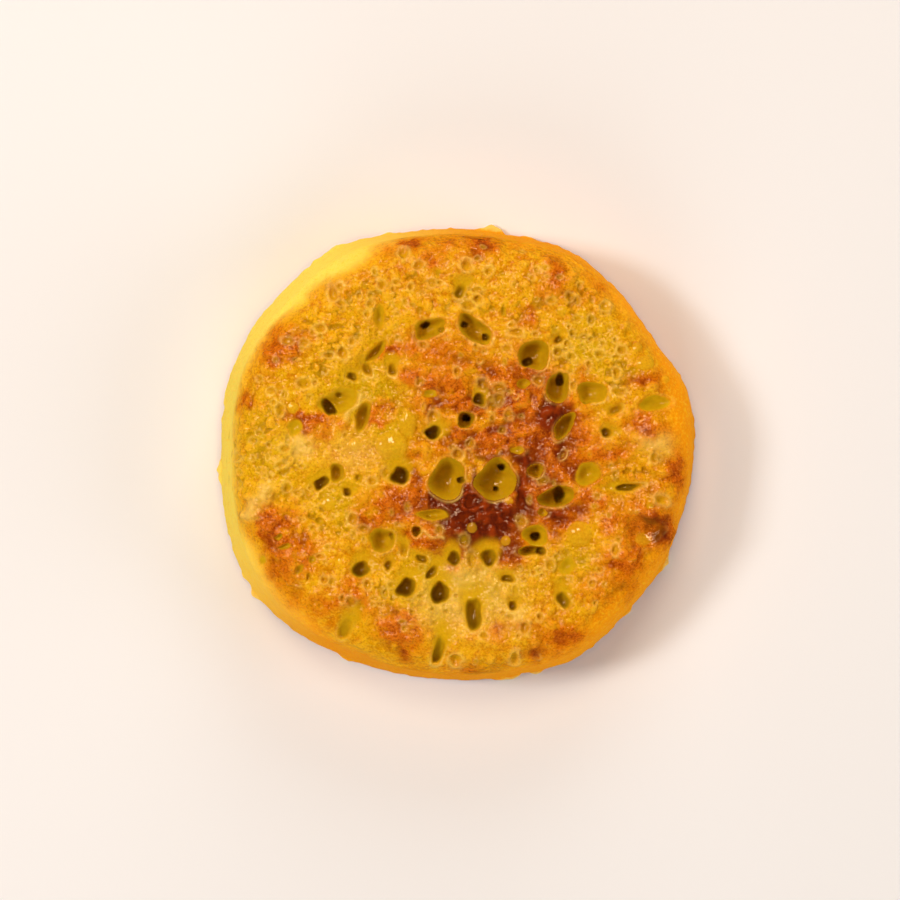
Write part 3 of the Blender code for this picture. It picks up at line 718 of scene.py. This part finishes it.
def sink_wells(skin, sheet):
    """Sinks bowls, shafts, pores and shallows, each with an uneven outline, a thin pale lip with a painted
    highlight on its lower right, and on shafts one steep side and one that slopes down to it. Shafts get
    painted shade, darker deeper down and on the side that each runs to, and bowls get painted shade
    towards their middle and their -X side."""
    draw = np.random.default_rng(WELL_SEED)
    kinds = [(well, False) for well in BOWLS + SHALLOWS] + [(well, True) for well in SHAFTS + PORES]
    for well, is_shaft in kinds:
        phases = draw.uniform(0, 2 * math.pi, len(OUTLINE_WAVES))
        bearing_down = math.radians(SHAFT_BEARING + draw.uniform(-BEARING_SPREAD, BEARING_SPREAD))
        found, dx, dy = sheet.near(well.x, well.y, SKIRT_SIZE * well.long + WELL_MARGIN)
        if len(found) == 0:
            continue
        share, bearing = oval(well, dx, dy)
        for count, (phase, size) in enumerate(zip(phases, OUTLINE_WAVES)):
            share = share / (1 + size * np.sin((count + 2) * bearing + phase))
        share = share + RAGGED * skin.ragged[found] * np.minimum(share, 1.0) / well.wide
        if is_shaft:
            downhill = np.clip(ahead(dx, dy, bearing_down) / well.long, -1.0, 1.0)
            before = floor_before(well)
            deep = min(well.depth, before + SHAFT_REACH * well.wide * well.depth / SHAFT_DEPTH)
            narrow = before > 0 or well.wide < NARROW_SLIT
            wall = INNER_WALL if narrow else SHAFT_WALL * (1 - SHAFT_SLANT * downhill)
            depth = deep * np.tanh((1 - share) / wall)
            # Painted shade: darker deeper down the shaft and on the side that it runs to.
            dark = smooth_rise(*SHAFT_BAND, depth / deep) * (EVEN_SHARE + (1 - EVEN_SHARE) * downhill)
            raise_to(skin.dark, found, dark * min(1.0, well.depth / SHAFT_DEPTH))
            if before == 0 and well.depth > SKIRT_LEAST:
                around = np.clip(1 - (share * (1 + SKIRT_LEAN * downhill) / SKIRT_SIZE) ** 2, 0.0, 1.0)
                unsunk = skin.depth[found] < OLIVE_DEPTH
                raise_to(skin.olive, found, SKIRT_OLIVE * around * unsunk)
                raise_to(skin.depth, found, SKIRT_DEPTH * around**SKIRT_CURVE)
        else:
            depth = bowl_depth(well, share)
            # Painted shade: darker towards a bowl's middle and towards its -X side.
            dark = BOWL_PAINTED_SHADE * (well.depth / DEEP_BOWL) ** 2 * smooth_rise(*BOWL_BAND, share)
            raise_to(skin.dark, found, np.clip(dark * (1 - dx / well.long), 0.0, 1.0))
        brim = min(WELL_EDGE_ROUND, NARROW_ROUND * well.wide) + SOFT_EDGE_ROUND * well.soft
        sunk = soft_max(skin.depth[found], depth, brim)
        gained = smooth_rise(0.0, OLIVE_DEPTH, sunk - skin.depth[found])
        skin.olive[found] += (well.olive - skin.olive[found]) * gained
        skin.depth[found] = sunk
        outside = (share - 1) * well.wide
        if well.depth > OUTLINE_LEAST:
            raise_to(skin.outline, found, np.abs(outside - OUTLINE_PLACE) < OUTLINE_BAND)
        lip = bell(outside, *LIP) * min(1.0, well.depth / LIP_DEPTH)
        # Painted highlight: a lip shows more on its lower right side.
        lit = EVEN_SHARE + (1 - EVEN_SHARE) * facing(dx, dy, LIP_HIGHLIGHT_TURN)
        lip *= lit * smooth_rise(*PATCHY_BAND, skin.patchy[found])
        raise_to(skin.lip, found, lip * (1 - well.soft))


def raise_froth(skin, sheet, froth):
    """Raises the shut bubbles, and sinks the open ones inside their rings."""
    for number, bubble in enumerate(froth):
        found, dx, dy = sheet.near(bubble.x, bubble.y, BUBBLE_REACH * bubble.radius)
        squash = 1 + SQUASH * math.sin(SQUASH_STEP * number)
        share = np.hypot(dx * squash, dy / squash) / bubble.radius
        share = share * (1 + BUBBLE_RAGGED * skin.ragged[found])
        if bubble.is_open:
            cup = smooth_rise(*CUP_BAND, share)
            ring = bell(share, 1.0, RING_WIDTH)
            skin.fine[found] += bubble.radius * (RING_RISE * ring - CUP_DEPTH * cup)
            raise_to(skin.cup, found, CUP_SHOWN * cup)
            raise_to(skin.lip, found, RING_SHOWN * ring)
        else:
            dome = np.clip(1 - share**2, 0.0, 1.0) ** DOME_CURVE
            raise_to(skin.froth, found, DOME_RISE * bubble.radius * dome)
            mood = (number * MOOD_STEP) % 1
            raise_to(skin.dome, found, dome * (DULLEST_DOME + (1 - DULLEST_DOME) * mood))
            # A crescent of painted shade on one side of each dome.
            turned_by = CRESCENT_TURN + CRESCENT_SPREAD * (mood - 0.5)
            shaded = smooth_rise(*CRESCENT_BAND, facing(dx, dy, turned_by))
            crescent = bell(share, *CRESCENT) * shaded
            least, more = CRESCENT_SHOWN
            raise_to(skin.crescent, found, crescent * (least + more * mood))


def raise_blisters(skin, sheet):
    for blister in BLISTERS:
        reach = BLISTER_REACH * max(blister.half_x, blister.half_y)
        found, dx, dy = sheet.near(blister.x, blister.y, reach)
        share = np.hypot(dx / blister.half_x, dy / blister.half_y)
        dome = np.clip(1 - share**2, 0.0, 1.0)
        skin.fine[found] += blister.amount * (dome - BLISTER_SINK * bell(share, *BLISTER_EDGE))
        raise_to(skin.film, found, smooth_rise(*FILM_BAND, share))


def raise_ridges(skin, sheet):
    for number, ridge in enumerate(RIDGES):
        middle = Vector(((ridge.x + ridge.end_x) / 2, (ridge.y + ridge.end_y) / 2))
        span = Vector((ridge.end_x - ridge.x, ridge.end_y - ridge.y))
        found, dx, dy = sheet.near(middle.x, middle.y, span.length / 2 + 4 * ridge.half_width)
        along = (dx * span.x + dy * span.y) / span.length
        across = (dy * span.x - dx * span.y) / span.length
        across = across + RIDGE_SWAY * np.sin(along * RIDGE_SWAY_STEP + number)
        beyond = np.maximum(np.abs(along) - span.length / 2, 0.0)
        near = bell(np.hypot(across, beyond), 0.0, ridge.half_width)
        skin.fine[found] += ridge.rise * near
        if number in PALE_RIDGES:
            raise_to(skin.lip, found, near)
        else:
            raise_to(skin.caramel, found, RIDGE_CARAMEL * near)


def shaped(ball, froth):
    """Each point of the ball moved to its place on the baked cake, with all that it shows."""
    angle, radius, z, lean = turned(ball)
    degrees = np.degrees(angle)
    share = radius / EDGE_RADIUS
    scale = 1 + (edge_radius(degrees) / EDGE_RADIUS - 1) * share**2
    edge = smooth_rise(*EDGE_BAND, share)
    out = fleck_reach(degrees) * edge * (1 - smooth_rise(*FLAKE_BAND, z / FLAKE_TOP))
    round_edge = np.stack([radius * np.cos(angle), radius * np.sin(angle), UPRIGHT * z], axis=1)
    out = out * (1 - FLAKE_RAGGED * (0.5 - 0.5 * lumps(round_edge, *FLAKE_LUMPS)))
    scale = scale + out / np.maximum(radius, 1.0)
    x, y = radius * scale * np.cos(angle), radius * scale * np.sin(angle)
    x = x + TOP_SHIFT * smooth_rise(0.0, 1.0, z / HEIGHT)
    on_top = smooth_rise(WALL_TOP, TOP_BEGINS, z)
    z = z + swelling(x, y) * on_top
    here = np.stack([x, y, z], axis=1)
    level = here * (1, 1, 0)

    skin = SimpleNamespace(on_top=on_top, edge=edge, height=z.copy(), flat=here, lean=lean)
    for name in "depth lip fine froth olive cup dome film caramel dark crescent outline".split():
        setattr(skin, name, np.zeros(len(x)))
    skin.flake = smooth_rise(*FLAKE_PALE, out)
    skin.ragged = lumps(level, *RAGGED_LUMPS)
    skin.patchy = lumps(level, *PATCHY_LUMPS)
    sheet = Sheet(x, y, np.flatnonzero((on_top > SHEET_BEGINS) & (lean > 0)))
    raise_froth(skin, sheet, froth)
    raise_blisters(skin, sheet)
    raise_ridges(skin, sheet)
    sink_wells(skin, sheet)

    skin.inside = smooth_rise(*INSIDE_BAND, skin.depth)
    inner = brim_start(degrees) + heaped(here, BRIM_LUMPS)
    skin.brim = smooth_rise(inner, inner + BRIM_SOFT, np.hypot(x, y))
    calm = (1 - CALMED * skin.film) * (1 - CALMED * skin.brim)
    gaps = smooth_rise(*GAP_BAND, heaped(here, *GAPS))
    gaps = gaps * (1 - smooth_rise(*DOME_BAND, skin.dome))
    frothy = smooth_rise(*FROTHY_BAND, covered(FROTH, x, y))
    # Olive gaps in the froth, and crescents of painted shade beside its domes.
    skin.groove = np.maximum(gaps, skin.crescent) * frothy * calm
    skin.crusted = covered(CRUSTED, x, y)
    web = 1
    for part, size, seed in WEB:
        web = web - part * np.abs(lumps(here, size, seed))
    web = CRUST_WEB * np.maximum(web, 0.0) ** 2 + CRUMB_RISE * np.abs(lumps(here, *CRUMBS))
    web = (web - CRUST_SINK) * skin.crusted
    skin.relief = (heaped(here, *ROUGHNESS) + web + skin.froth - GROOVE_DEPTH * skin.groove) * calm
    rise = skin.relief + skin.fine
    side = heaped(here, SIDE_LUMPS) + heaped(here * (1, 1, 0.5), SIDE_GRAIN)
    relief = on_top * (rise * (1 - CALM_INSIDE * skin.inside) + LIP_RISE * skin.lip)
    relief = relief + (1 - on_top) * side * (z > SIDE_BEGINS)
    torn = TORN_REACH * lumps(here * (1, 1, UPRIGHT), *TORN_LUMPS) * edge
    outward = relief * np.cos(lean) + torn * (1 - smooth_rise(*TORN_BAND, z)) * (z > FLAT_BELOW)
    x = x + outward * np.cos(angle)
    y = y + outward * np.sin(angle)
    z = z + relief * np.sin(lean) - skin.depth * on_top
    over = np.maximum(z - TALLEST, 0.0)
    z = z - over + PRESSED * (1 - np.exp(-over / PRESSED))
    z = np.where(lean <= -math.pi / 2 + 1e-6, 0.0, np.maximum(z, 0.0))
    skin.place = np.stack([x, y, z], axis=1)
    return skin


def longest_edges(skin):
    """How long an edge may be at each point."""
    busy = np.maximum.reduce([skin.dome, skin.lip, skin.groove, skin.cup, skin.film, skin.crusted])
    limit = CALM_EDGE + (BUSY_EDGE - CALM_EDGE) * smooth_rise(*BUSY_BAND, busy)
    limit = np.where(skin.depth > WALL_DEPTH, WALL_EDGE, limit)
    limit = np.where(skin.outline > 0, OUTLINE_EDGE, limit)
    limit = np.where(skin.on_top < SIDE_SHARE, SIDE_EDGE, limit)
    limit = np.where((skin.edge > 0.5) & (skin.height < FLECK_TOP), TORN_EDGE, limit)
    return np.where((skin.height < FLAT_BELOW) & (skin.edge < 0.5), BASE_EDGE, limit)


def refined_ball(froth):
    """The ball of batter, cut finer wherever the baked cake's surface needs it."""
    ball = bmesh.new()
    bmesh.ops.create_icosphere(ball, subdivisions=BALL_ROUNDS, radius=1.0)
    mesh = bpy.data.meshes.new(NODE + "_baked")
    for _ in range(MOST_ROUNDS):
        ball.to_mesh(mesh)
        skin = shaped(points_of(mesh), froth)
        ends = np.empty(len(mesh.edges) * 2, np.int32)
        mesh.edges.foreach_get("vertices", ends)
        ends = ends.reshape(-1, 2)
        span = np.linalg.norm(skin.place[ends[:, 0]] - skin.place[ends[:, 1]], axis=1)
        run = np.linalg.norm(skin.flat[ends[:, 0]] - skin.flat[ends[:, 1]], axis=1)
        too_long = (span > longest_edges(skin)[ends].min(axis=1)) & (run > 2 * NARROWEST)
        if not too_long.any():
            break
        ball.edges.ensure_lookup_table()
        chosen = [ball.edges[index] for index in np.flatnonzero(too_long)]
        bmesh.ops.subdivide_edges(ball, edges=chosen, cuts=1)
        bmesh.ops.triangulate(ball, faces=[face for face in ball.faces if len(face.verts) > 3])
    ball.to_mesh(mesh)
    ball.free()
    return mesh


def points_of(mesh):
    points = np.empty(len(mesh.vertices) * 3, np.float32)
    mesh.vertices.foreach_get("co", points)
    return points.reshape(-1, 3).astype(float)


# ---- what each point of the skin shows
def shown_by(skin):
    """The named amounts that the baked batter's material reads at each point."""
    x, y, _ = skin.place.T
    here = skin.place * (1, 1, 0)
    wander_x, wander_y = (heaped(here, *heaps) for heaps in WANDER)
    field = {
        name: covered(patches, x + sway * wander_x, y + sway * wander_y)
        for name, (patches, sway) in FIELDS.items()
    }
    caramel, toast = (field[name] * skin.on_top for name in ("caramel", "toast"))
    window = smooth_rise(*WINDOW_BAND, heaped(here, *WINDOWS))
    toast *= 1 - WINDOW_PALE * window * skin.crusted * (1 - caramel)
    # Painted light: the brim and side are paler yellow on the side that the lights come from.
    bearing = np.arctan2(y, x) - math.radians(LIT_SIDE_BEARING)
    lit_yellow_side = smooth_rise(*LIT_SIDE_BAND, 0.5 + 0.5 * np.cos(bearing))
    rim = np.maximum(skin.brim, 1 - skin.on_top)
    underside = np.where(skin.lean < UNDER_LEAN, UNDERSIDE_TOAST, 0.0)
    outside = 1 - skin.inside * np.clip(OLIVE_COVERS * skin.olive, 0.0, 1.0)
    cup = CUP_HOLLOW * skin.cup * (outside * (1 - skin.brim) * skin.on_top)
    # Pale fields, lips with their painted highlight, and torn flakes.
    pale = np.maximum.reduce([field["pale"] * skin.on_top, LIP_PALE * skin.lip, skin.flake])
    # The relief's height, from which the material paints shade in creases and highlight on crests.
    raised = np.clip(0.5 + skin.relief / RELIEF_RANGE, 0.0, 1.0)
    clear = {name: 1 - hides * skin.film for name, hides in FILM_HIDES.items()}
    return {
        "toast": np.maximum(toast * outside * clear["toast"], underside),
        "caramel": np.maximum(caramel, skin.caramel) * outside * clear["caramel"],
        "hollow": np.maximum(smooth_rise(*HOLLOW_BAND, skin.depth) * skin.olive, cup),
        # Painted shade deep in shafts and bowls.
        "deep": skin.dark,
        "crusted": skin.crusted * skin.on_top,
        "pale": pale * outside,
        "olive": field["olive"] * skin.on_top * outside,
        "film": skin.film * outside,
        "brim": rim,
        "dome": skin.dome * outside,
        "groove": skin.groove * outside,
        "raised": raised * skin.on_top + 0.5 * (1 - skin.on_top),
        # On the rim, the paler yellow of the lit side, which is painted light; on the top, the yellower
        # fields.
        "sunny": field["sunny"] + (lit_yellow_side - field["sunny"]) * rim,
    }


def baked_cake():
    """The whole cake as one closed mesh, with its named amounts."""
    froth = scattered_froth()
    mesh = refined_ball(froth)
    skin = shaped(points_of(mesh), froth)
    place = (skin.place + (*TURNING_AXIS, 0.0)) * MM
    mesh.vertices.foreach_set("co", place.astype(np.float32).ravel())
    for name, amount in shown_by(skin).items():
        attribute = mesh.attributes.new(name, "FLOAT", "POINT")
        attribute.data.foreach_set("value", amount.astype(np.float32))
    mesh.shade_smooth()
    mesh.update()
    cake = bpy.data.objects.new(NODE + "_baked", mesh)
    bpy.context.scene.collection.objects.link(cake)
    return cake


# ---- materials
# Lumps by their size in millimetres: broad colour, patches of heat, crumbs of crust and its grain.
LUMP_SIZES = {"broad": 6.0, "patch": 2.6, "crumb": 1.15, "grain": 0.45}
BEAD_SIZE = 1.1  # beads of oil and crust that glint
CRUMB_BUMP = 0.75
GRAIN_BUMP = 0.1
SHOWN = "toast caramel hollow deep pale film dome groove raised sunny brim olive crusted".split()
# Each share: what it reads, between which two values it goes from none to all, and how much all is.
SHARES = {
    "broad_tint": ("broad", 0.4, 0.6, 1.0),
    "hot": ("patch", 0.5, 0.68, 0.85),
    "cool": ("patch", 0.5, 0.34, 0.75),
    # Lighter where the crumb and grain bumps rise and darker where they sink: the crust's grain, with
    # painted highlight and painted shade.
    "crumb_tip_and_highlight": ("crumb", 0.5, 0.7, 0.4),
    "crumb_dip_and_shade": ("crumb", 0.48, 0.3, 0.5),
    "grain_speck_and_highlight": ("grain", 0.52, 0.66, 0.6),
    "grain_pit_and_shade": ("grain", 0.48, 0.34, 0.55),
    # Painted shade in the creases of the relief, and painted highlight on its crests.
    "low": ("raised", 0.5, 0.25, 0.75),
    "high": ("raised", 0.55, 0.85, 0.55),
    "heat_crumb": ("crumb", 0.3, 0.7, 0.5),
    "heat_patch": ("patch", 0.35, 0.65, 0.45),
    "syrup": ("caramel", 0.2, 0.65, 1.0),
    # Syrup painted darker in the relief's creases and lighter on its crests.
    "syrup_tone": ("raised", 0.35, 0.8, 1.0),
    "pale_tint": ("pale", 0.0, 1.0, 0.75),
    "olive_tint": ("olive", 0.0, 0.7, 0.85),
    "film_tint": ("film", 0.2, 0.9, 0.42),
    # Olive gaps and crescents of painted shade in the froth.
    "groove_and_shade_tint": ("groove", 0.1, 0.8, 0.6),
    "dome_tint": ("dome", 0.3, 1.0, 0.5),
    "brim_tint": ("brim", 0.0, 1.0, 0.85),
}
EVEN_HEAT = 0.48  # how brown a toasted place is where crumbs and patches of heat add nothing
TOAST_TONES = ((0.1, "#EE9008"), (1.0, "#6C220C"), (0.32, "#DE7404"), (0.56, "#BC5408"), (0.8, "#923606"))
TOAST_FROM, TOAST_TO = 0.04, 0.4  # heats between which toasting shows
# Colours that change from one to another with an amount.
CHANGES = {
    # Syrup from near black in creases to red on crests: painted shade and highlight.
    "red": ("syrup_tone", "#380A0C", "#98380E"),
    "thin": ("heat_crumb", "#D8AE12", "#BE9208"),
    # The brim's orange, turning paler yellow on its lit side, which is painted light.
    "rim": ("sunny", "#FF9C04", "#FFE660"),
}
FIRST_COLOUR = "#DE8404"
# The brown that the painted shade deep in shafts and bowls turns to.
PAINTED_SHADE_COLOUR = "#542A02"
# The colours laid over the first one, each with the amount that shows it. The low and high colours and their
# toasted copies are painted shade in creases and painted highlight on crests.
LAYERS = (
    ("broad_tint", "#E89606"), ("sunny", "#FFC80E"), ("hot", "#D87202"), ("cool", "#F8B90E"),
    ("low", "#D88E02"), ("crumb_dip_and_shade", "#E49002"), ("olive_tint", "#D0A806"), ("high", "#FBB420"),
    ("dome_tint", "#FFBE2C"), ("crumb_tip_and_highlight", "#FFBE28"), ("grain_pit_and_shade", "#C07A00"), ("brim_tint", "rim"),
    ("grain_speck_and_highlight", "#FFC628"), ("groove_and_shade_tint", "#B88C06"), ("toasted", "toast_tone"),
    ("toasted_high", "#EC8018"), ("toasted_grain_speck_and_highlight", "#F08A24"), ("syrup", "red"),
    ("toasted_low", "#822E08"), ("toasted_crumb_dip_and_shade", "#943406"), ("toasted_grain_pit_and_shade", "#802A06"),
    ("film_tint", "#E2AE20"), ("pale_tint", "#FFD468"),
)
FIRST_ROUGHNESS = 0.42
GLOSS = (
    ("brim", 0.55), ("dome_tint", 0.3), ("toasted", 0.26), ("syrup", 0.16), ("film", 0.14), ("hollow", 0.45)
)


def linear(hex_colour):
    """An sRGB hex value as linear red, green, blue and alpha."""
    channels = [int(hex_colour[place : place + 2], 16) / 255 for place in (1, 3, 5)]
    return (*(c / 12.92 if c <= 0.04045 else ((c + 0.055) / 1.055) ** 2.4 for c in channels), 1.0)


def add_node(tree, kind, inputs, out=0, stops=(), **settings):
    """Adds one node with its settings, its ramp's stops, and its inputs as values, hex colours or links,
    and gives back one of its outputs."""
    node = tree.nodes.new("ShaderNode" + kind)
    for name, value in settings.items():
        setattr(node, name, value)
    for count, (at, colour) in enumerate(stops):
        ramp = node.color_ramp.elements
        stop = ramp[count] if count < 2 else ramp.new(at)
        stop.position, stop.color = at, linear(colour)
    for name, value in inputs.items():
        socket = node.inputs[name]
        if isinstance(value, bpy.types.NodeSocket):
            tree.links.new(value, socket)
        else:
            socket.default_value = linear(value) if isinstance(value, str) else value
    return node if out is None else node.outputs[out]


def batter_material():
    """Egg and tapioca batter baked in a mould: a fine-grained, slightly oily skin, yellow where it set
    thick, olive where a bubble left it thin, and toasted orange to brown where it rose towards the heat.
    Its colour also holds painted light: shade deep in shafts and bowls, in creases and in crescents
    beside bubbles, and highlight on crests, on lips and on the brim's lit side."""
    material = bpy.data.materials.new("baked_egg_batter")
    material.use_nodes = True
    tree = material.node_tree
    tree.nodes.clear()
    place = add_node(tree, "TexCoord", {}, out="Object")
    amount = {name: add_node(tree, "Attribute", {}, out="Fac", attribute_name=name) for name in SHOWN}
    for name, size in LUMP_SIZES.items():
        noise = {"Vector": place, "Scale": 1 / (size * MM), "Detail": 2.0, "Roughness": 0.6}
        amount[name] = add_node(tree, "TexNoise", noise)
    beads = {"Vector": place, "Scale": 1 / (BEAD_SIZE * MM), "Smoothness": 0.35}
    bead = add_node(tree, "TexVoronoi", beads, feature="SMOOTH_F1")
    for name, (source, low, high, most) in SHARES.items():
        limits = {"Value": amount[source], "From Min": low, "From Max": high, "To Max": most}
        amount[name] = add_node(tree, "MapRange", limits)

    heat = amount["heat_crumb"]
    steps = (("ADD", amount["heat_patch"]), ("ADD", EVEN_HEAT), ("MULTIPLY", amount["toast"]))
    for operation, by in steps:
        heat = add_node(tree, "Math", {0: heat, 1: by}, operation=operation)
    tones = {"toast_tone": add_node(tree, "ValToRGB", {"Fac": heat}, stops=TOAST_TONES)}
    limits = {"Value": heat, "From Min": TOAST_FROM, "From Max": TOAST_TO}
    toasted = amount["toasted"] = add_node(tree, "MapRange", limits)
    # Toasted copies of the painted crease shade and crest highlight, and of the crumb and grain tones with
    # their painted shade and highlight.
    for name in ("low", "high", "crumb_dip_and_shade", "grain_pit_and_shade", "grain_speck_and_highlight"):
        both = {0: amount[name], 1: toasted}
        amount["toasted_" + name] = add_node(tree, "Math", both, operation="MULTIPLY")
    for name, (by, low, high) in CHANGES.items():
        change = {0: amount[by], 6: low, 7: high}
        tones[name] = add_node(tree, "Mix", change, out=2, data_type="RGBA")
    colour = FIRST_COLOUR
    for by, over in LAYERS:
        layer = {0: amount[by], 6: colour, 7: tones.get(over, over)}
        colour = add_node(tree, "Mix", layer, out=2, data_type="RGBA")
    # Insides of cells and shafts: olive, turning to the brown painted shade where the deep amount says.
    depth = {0: amount["deep"], 6: tones["thin"], 7: PAINTED_SHADE_COLOUR}
    inside = add_node(tree, "Mix", depth, out=2, data_type="RGBA")
    layer = {0: amount["hollow"], 6: colour, 7: inside}
    colour = add_node(tree, "Mix", layer, out=2, data_type="RGBA")

    roughness = FIRST_ROUGHNESS
    for by, value in GLOSS:
        roughness = add_node(tree, "Mix", {0: amount[by], 2: roughness, 3: value})
    # Oil lies on syrup, toast, blisters and crust, and there is less in cells, on the brim and on syrup.
    oily = add_node(tree, "Math", {0: amount["syrup"], 1: 0.75}, operation="MULTIPLY")
    for name in ("toasted", "film", "crusted"):
        oily = add_node(tree, "Math", {0: oily, 1: amount[name]}, operation="MAXIMUM")
    dry = add_node(tree, "Math", {0: amount["hollow"], 1: 0.35}, operation="MULTIPLY")
    dry = add_node(tree, "Math", {0: dry, 1: amount["brim"]}, operation="MAXIMUM")
    sticky = add_node(tree, "Math", {0: amount["syrup"], 1: 0.35}, operation="MULTIPLY")
    for operation, by in (("MAXIMUM", sticky), ("MULTIPLY", 0.8)):
        dry = add_node(tree, "Math", {0: dry, 1: by}, operation=operation)
    oily = add_node(tree, "MapRange", {"Value": oily, "To Min": 0.75, "To Max": 1.0})
    oily = add_node(tree, "Math", {0: oily, 1: dry}, operation="SUBTRACT", use_clamp=True)
    # The bumps fade in cells and on blisters, and partly on the brim and on syrup.
    smooth = add_node(tree, "Math", {0: amount["hollow"], 1: amount["film"]}, operation="MAXIMUM")
    partly = add_node(tree, "MapRange", {"Value": amount["brim"], "To Max": 0.45})
    smooth = add_node(tree, "Math", {0: smooth, 1: partly}, operation="MAXIMUM")
    partly = add_node(tree, "Math", {0: amount["syrup"], 1: 0.5}, operation="MULTIPLY")
    smooth = add_node(tree, "Math", {0: smooth, 1: partly}, operation="MAXIMUM")
    strength = add_node(tree, "MapRange", {"Value": smooth, "To Min": 0.85, "To Max": 0.06})
    height = add_node(tree, "Mix", {0: 0.4, 2: amount["crumb"], 3: bead})
    bumps = {"Strength": strength, "Distance": CRUMB_BUMP * MM, "Height": height}
    crumbs = add_node(tree, "Bump", bumps)
    bumps = {"Strength": strength, "Distance": GRAIN_BUMP * MM, "Height": amount["grain"], "Normal": crumbs}
    bumped = add_node(tree, "Bump", bumps)
    skin = {
        "Base Color": colour,
        "Roughness": roughness,
        "Normal": bumped,
        "IOR": 1.4,
        "Specular IOR Level": 0.05,
        "Specular Tint": (1.0, 0.82, 0.66, 1.0),
        "Coat Weight": oily,
        "Coat Roughness": 0.08,
        "Coat Normal": bumped,
        "Coat IOR": 1.75,
        "Subsurface Weight": 0.1,
        "Subsurface Radius": (1.0, 0.45, 0.1),
        "Subsurface Scale": 1.2 * MM,
    }
    shader = add_node(tree, "BsdfPrincipled", skin)
    add_node(tree, "OutputMaterial", {"Surface": shader}, out=None)
    return material


def floor_material():
    """Matt white paper: bright and even, with no shine."""
    material = bpy.data.materials.new("matt_white_paper")
    material.use_nodes = True
    shader = material.node_tree.nodes["Principled BSDF"]
    shader.inputs["Base Color"].default_value = linear("#F2F2F2")
    shader.inputs["Roughness"].default_value = 0.9
    return material


# ---- floor, light and camera
def add_floor():
    plane = bmesh.new()
    bmesh.ops.create_grid(plane, x_segments=1, y_segments=1, size=1.5)
    mesh = bpy.data.meshes.new("floor")
    plane.to_mesh(mesh)
    plane.free()
    mesh.materials.append(floor_material())
    floor = bpy.data.objects.new("floor", mesh)
    bpy.context.scene.collection.objects.link(floor)
    floor.visible_glossy = False


WHITE = "#FFFFFF"
WARM_WHITE = "#FFD8B0"


def add_light(name, toward, distance, size, power, colour, glints=False):
    """A square soft light in that direction from the cake, facing it, which may show in its gloss."""
    light = bpy.data.lights.new(name, "AREA")
    light.size = size
    light.energy = power
    light.color = linear(colour)[:3]
    lamp = bpy.data.objects.new(name, light)
    direction = Vector(toward).normalized()
    lamp.location = direction * distance
    lamp.rotation_euler = direction.to_track_quat("Z", "Y").to_euler()
    lamp.visible_glossy = glints
    bpy.context.scene.collection.objects.link(lamp)


def add_camera():
    """Straight above the cake, as far off as the photograph's slight perspective asks."""
    camera = bpy.data.cameras.new("camera")
    camera.sensor_width = 36.0
    camera.lens = 143.16
    camera.clip_start = 0.05
    eye = bpy.data.objects.new("camera", camera)
    eye.location = Vector((-0.92, 0.49, 700.0)) * MM
    bpy.context.scene.collection.objects.link(eye)
    bpy.context.scene.camera = eye


def light_studio():
    world = bpy.data.worlds.new("studio")
    world.use_nodes = True
    world.node_tree.nodes["Background"].inputs["Color"].default_value = linear("#FFFFFF")
    world.node_tree.nodes["Background"].inputs["Strength"].default_value = 0.08
    world.cycles_visibility.glossy = False
    bpy.context.scene.world = world
    add_light("key_from_left", (-1.0, 0.1, 1.15), 1.2, 0.25, 5.5, WHITE)
    add_light("small_box_left", (-1.0, 0.35, 1.5), 1.2, 0.36, 2.5, WARM_WHITE, True)
    add_light("small_box_overhead", (-0.08, 0.45, 1.0), 1.1, 0.32, 3.0, WARM_WHITE, True)
    add_light("wide_fill_from_right", (1.0, -0.2, 0.4), 1.4, 0.8, 7.2, WHITE)
    add_light("wide_fill_from_behind", (0.2, 1.0, 0.4), 1.4, 0.8, 8.4, WHITE)
    add_light("wide_fill_from_front", (-0.1, -1.0, 0.4), 1.4, 0.8, 6.8, WHITE)
    bpy.context.scene.view_settings.view_transform = "Standard"


cake = baked_cake()
cake.data.materials.append(batter_material())
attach(cake, "root")
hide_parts(NODE)
add_floor()
light_studio()
add_camera()
